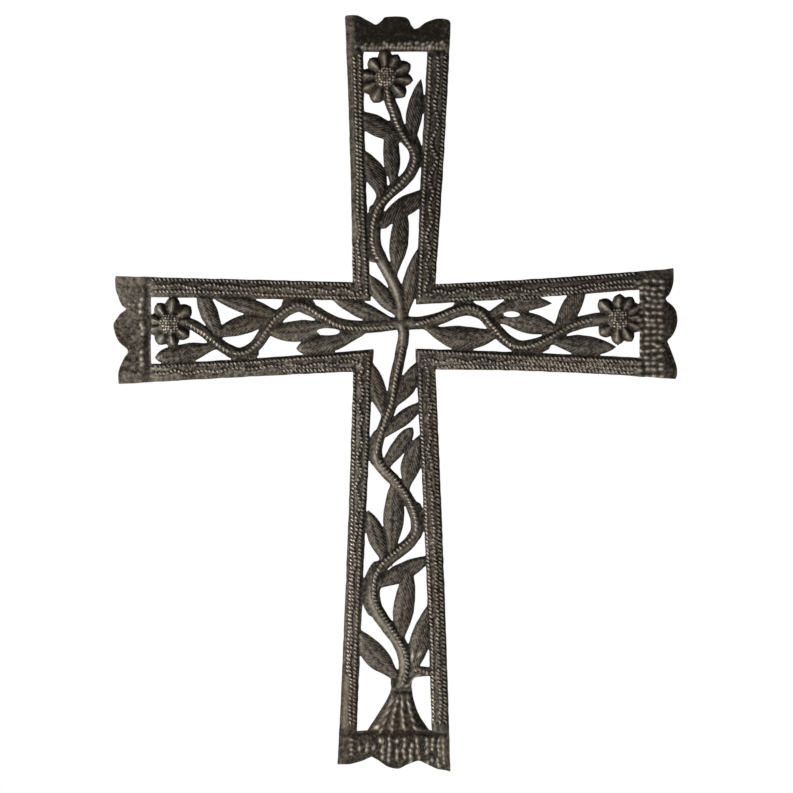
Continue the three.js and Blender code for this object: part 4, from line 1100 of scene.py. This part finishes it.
def noise(scale, detail=3.0, roughness=0.55):
    return node("ShaderNodeTexNoise", {"Vector": place, "Scale": scale, "Detail": detail,
                                       "Roughness": roughness}).outputs["Fac"]


def hashed(value):
    return node("ShaderNodeTexWhiteNoise", {"W": value}, noise_dimensions="1D").outputs["Value"]


def jitter(value, reach):
    return times(less(hashed(value), 0.5), reach)


def squared(value, size):  # nearly square, so a mark has full corners
    return reckon("POWER", reckon("ABSOLUTE", reckon("DIVIDE", value, size)), rowWork["markPower"])


# Chisel marks in rows.
rowU, rowV = path("rowPath")
turns = reckon("DIVIDE", rowU, rowWork["pitch"])
number = reckon("FLOOR", turns)
along = plus(times(less(less(turns, number), 0.5), rowWork["pitch"]), jitter(number, 0.7))
across = plus(rowV, jitter(plus(number, 0.37), 0.5))
spread = plus(squared(across, rowWork["markHalfLength"]), squared(along, rowWork["markHalfWidth"]))
mark = ramp(spread, rowWork["markEdge"], 0.3)
struck = times(mark, ramp(hashed(plus(number, 0.71)), 0.0, 0.6, 0.6, 1.0))
markLight = times(struck, ramp(noise(30.0, 2.0), 0.34, 0.5, 0.6, 1.0))
# Painted shade in a row's strip around and between the marks, where each mark would cast its shadow.
inRow = ramp(reckon("ABSOLUTE", rowV), rowWork["reachAcross"], 1.2)
pitShade = times(inRow, less(1.0, mark))

# Oblique strokes on leaves and along petals.
leafU, leafV = path("leafPath")
onLeaf = shade("leafShade")
slanted = less(leafU, times(leafV, steel["veinSlope"]))
wavering = times(noise(140.0, 3.0), 4.5)
wave = reckon("SINE", times(plus(slanted, wavering), 2 * math.pi / steel["veinSpacing"]))
vein = times(ramp(wave, -0.1, 1.0), onLeaf, ramp(noise(260.0, 3.0), 0.38, 0.6))

# Punched dots on the discs.
flatPlace = node("ShaderNodeVectorMath", {0: place, 1: (1.0, 0.0, 1.0)}, operation="MULTIPLY")
dots = node("ShaderNodeTexVoronoi", {"Vector": flatPlace.outputs[0], "Randomness": 0.5,
                                     "Scale": 1000 / steel["dotSpacing"]}).outputs["Distance"]
onDisc = shade("discShade")
dot = times(ramp(dots, 0.56, 0.26), onDisc)

# Colour: first how grey the dark metal is, with painted shade and painted light in it, then rust and
# moss, then painted shade with soot, then the bright places.
worn, hollowness, shadeAndSoot = shade("wearShade"), shade("dirtShade"), shade("sootShade")
fine = noise(430.0, 4.0, 0.7)
# Rubbed wear, and painted light on the lower and left-hand bands.
rubbedAndLit = times(shade("rubbedShade"), ramp(noise(34.0, 3.0), 0.36, 0.56, 0.45, 1.0))
grey = weighed(
    (worn, 0.7), (ramp(noise(9.0, 4.0), 0.35, 0.7), 0.5), (shade("smoothShade"), 0.35),
    (onDisc, -0.3), (hollowness, -0.5), (rubbedAndLit, 0.42), (pitShade, -0.4), (shadeAndSoot, -0.5), (onLeaf, -0.12),
    (less(fine, 0.46), 3.0))
colour = blend(node("ShaderNodeClamp", {0: grey}).outputs[0], steel["dark"], steel["grey"])
rust = times(ramp(noise(16.0, 5.0), 0.5, 0.72), 0.55)
colour = blend(rust, colour, steel["brown"])
moss = times(ramp(noise(13.0, 4.0, 0.7), 0.54, 0.74), 0.45)
colour = blend(moss, colour, steel["green"])
speckle = times(ramp(fine, 0.5, 0.62), ramp(rubbedAndLit, 0.0, 1.0, 0.1, 0.6))
speckle = times(speckle, less(1.0, times(shadeAndSoot, 0.8)))
# The punch mask lightens the punches and paints the highlights round the neck.
light = chained("MAXIMUM", [
    markLight, times(dot, 1.1), times(shade("punchShade"), 0.95), times(vein, 0.3), speckle,
    times(worn, worn, 0.4)])
light = times(light, ramp(fine, 0.32, 0.54, 0.5, 1.0))
facing = node("ShaderNodeSeparateXYZ", {0: coordinates["Normal"]}).outputs[1]
onBack = ramp(facing, 0.1, 0.5)  # nobody rubs the side that lies on the wall
light = times(light, less(1.0, times(onBack, 0.8)))
# Painted shade with soot over the top end, the upper right and between punches.
shadeAndSootPatch = times(shadeAndSoot, ramp(noise(300.0, 3.0), 0.62, 0.42, 0.35, 0.85))
colour = blend(shadeAndSootPatch, colour, steel["shadeAndSoot"])
# Painted shade between the marks of a row.
colour = blend(times(pitShade, 0.4), colour, steel["shadeAndSoot"])
colour = blend(light, colour, steel["worn"])

# Relief too fine for the mesh, in millimetres.
rise = weighed(
    (struck, steel["markRise"]), (vein, steel["veinRise"]), (dot, steel["dotRise"]),
    (noise(230.0, 4.0, 0.6), 0.42), (noise(560.0, 2.0), 0.26), (noise(70.0, 2.0), 0.3))
bump = node("ShaderNodeBump", {"Strength": 1.0, "Distance": 0.001, "Height": rise})
rough = ramp(plus(fine, times(hollowness, 0.4)), 0.3, 0.9, 0.4, 0.64)
shader = node("ShaderNodeBsdfPrincipled", {
    "Base Color": colour, "Roughness": rough, "Metallic": 0.9, "Normal": bump.outputs[0],
    "Coat Weight": 0.12, "Coat Roughness": 0.3})
node("ShaderNodeOutputMaterial", {"Surface": shader.outputs[0]})
cross.data.materials.clear()
cross.data.materials.append(material)
print("steel mixed")

# Stage, light and camera.
stage = {"floorDrop": 0.3, "floorRadius": 1.9, "floorColour": (0.86, 0.86, 0.85, 1)}
low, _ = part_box("cross")
bpy.ops.object.select_all(action="DESELECT")
bpy.ops.mesh.primitive_circle_add(vertices=96, radius=stage["floorRadius"], fill_type="NGON",
                                  location=(0, 0, low.z - stage["floorDrop"]))
floor = bpy.context.active_object
floor.name = "floor"
floorPaint = bpy.data.materials.new("floor_paint")
floorPaint.use_nodes = True
floorShader = floorPaint.node_tree.nodes["Principled BSDF"]
floorShader.inputs["Base Color"].default_value = stage["floorColour"]
floorShader.inputs["Roughness"].default_value = 0.8
floor.data.materials.append(floorPaint)

world = bpy.data.worlds.new("studio")
bpy.context.scene.world = world
world.use_nodes = True
tree = world.node_tree
tree.nodes.clear()
ray = node("ShaderNodeLightPath").outputs
paper = node("ShaderNodeBackground", {"Color": (1, 1, 1, 1), "Strength": 1.0})
toward = node("ShaderNodeSeparateXYZ", {0: node("ShaderNodeTexCoord").outputs["Generated"]}).outputs
glow = ramp(weighed((toward[0], -0.5), (toward[2], -0.75)), -0.5, 0.65, 0.1, 0.85)
onMatt = times(ray["Is Diffuse Ray"], 0.7)  # the floor stays pale all over
strength = reckon("MAXIMUM", glow, onMatt)
room = node("ShaderNodeBackground", {"Color": (1, 0.97, 0.93, 1), "Strength": strength})
both = node("ShaderNodeMixShader", {0: ray["Is Camera Ray"], 1: room.outputs[0], 2: paper.outputs[0]})
node("ShaderNodeOutputWorld", {"Surface": both.outputs[0]})

# The camera stands straight in front, as far off as a long lens needs, aimed at the drawing's
# place that is in the middle of the picture. The key light stands low on the left.
shot = {
    "distance": 2.6, "across": 1.55, "up": -55.4, "depth": 0.003, "frameWidth": 0.6146, "sensor": 36,
}
keyLight = {"at": (-1.1, -1.2, -0.35), "size": 0.8, "power": 9.5}
aimX, aimZ = ((shot[way] - hanging[way]) / 1000 for way in ("across", "up"))
aim = Vector((aimX, -shot["depth"], aimZ))
spot = aim + Vector(keyLight["at"])
bpy.ops.object.light_add(type="AREA", location=spot)
light = bpy.context.active_object
light.name = "keyLowLeft"
light.data.size = keyLight["size"]
light.data.energy = keyLight["power"]
light.rotation_euler = (aim - spot).to_track_quat("-Z", "Y").to_euler()
bpy.ops.object.camera_add(location=(aim.x, -shot["distance"], aim.z), rotation=(math.pi / 2, 0, 0))
camera = bpy.context.active_object
camera.data.sensor_width = shot["sensor"]
camera.data.lens = shot["sensor"] * (shot["distance"] - shot["depth"]) / shot["frameWidth"]
camera.data.clip_end = 50
bpy.context.scene.camera = camera
bpy.context.scene.view_settings.view_transform = "Standard"

print("staged")
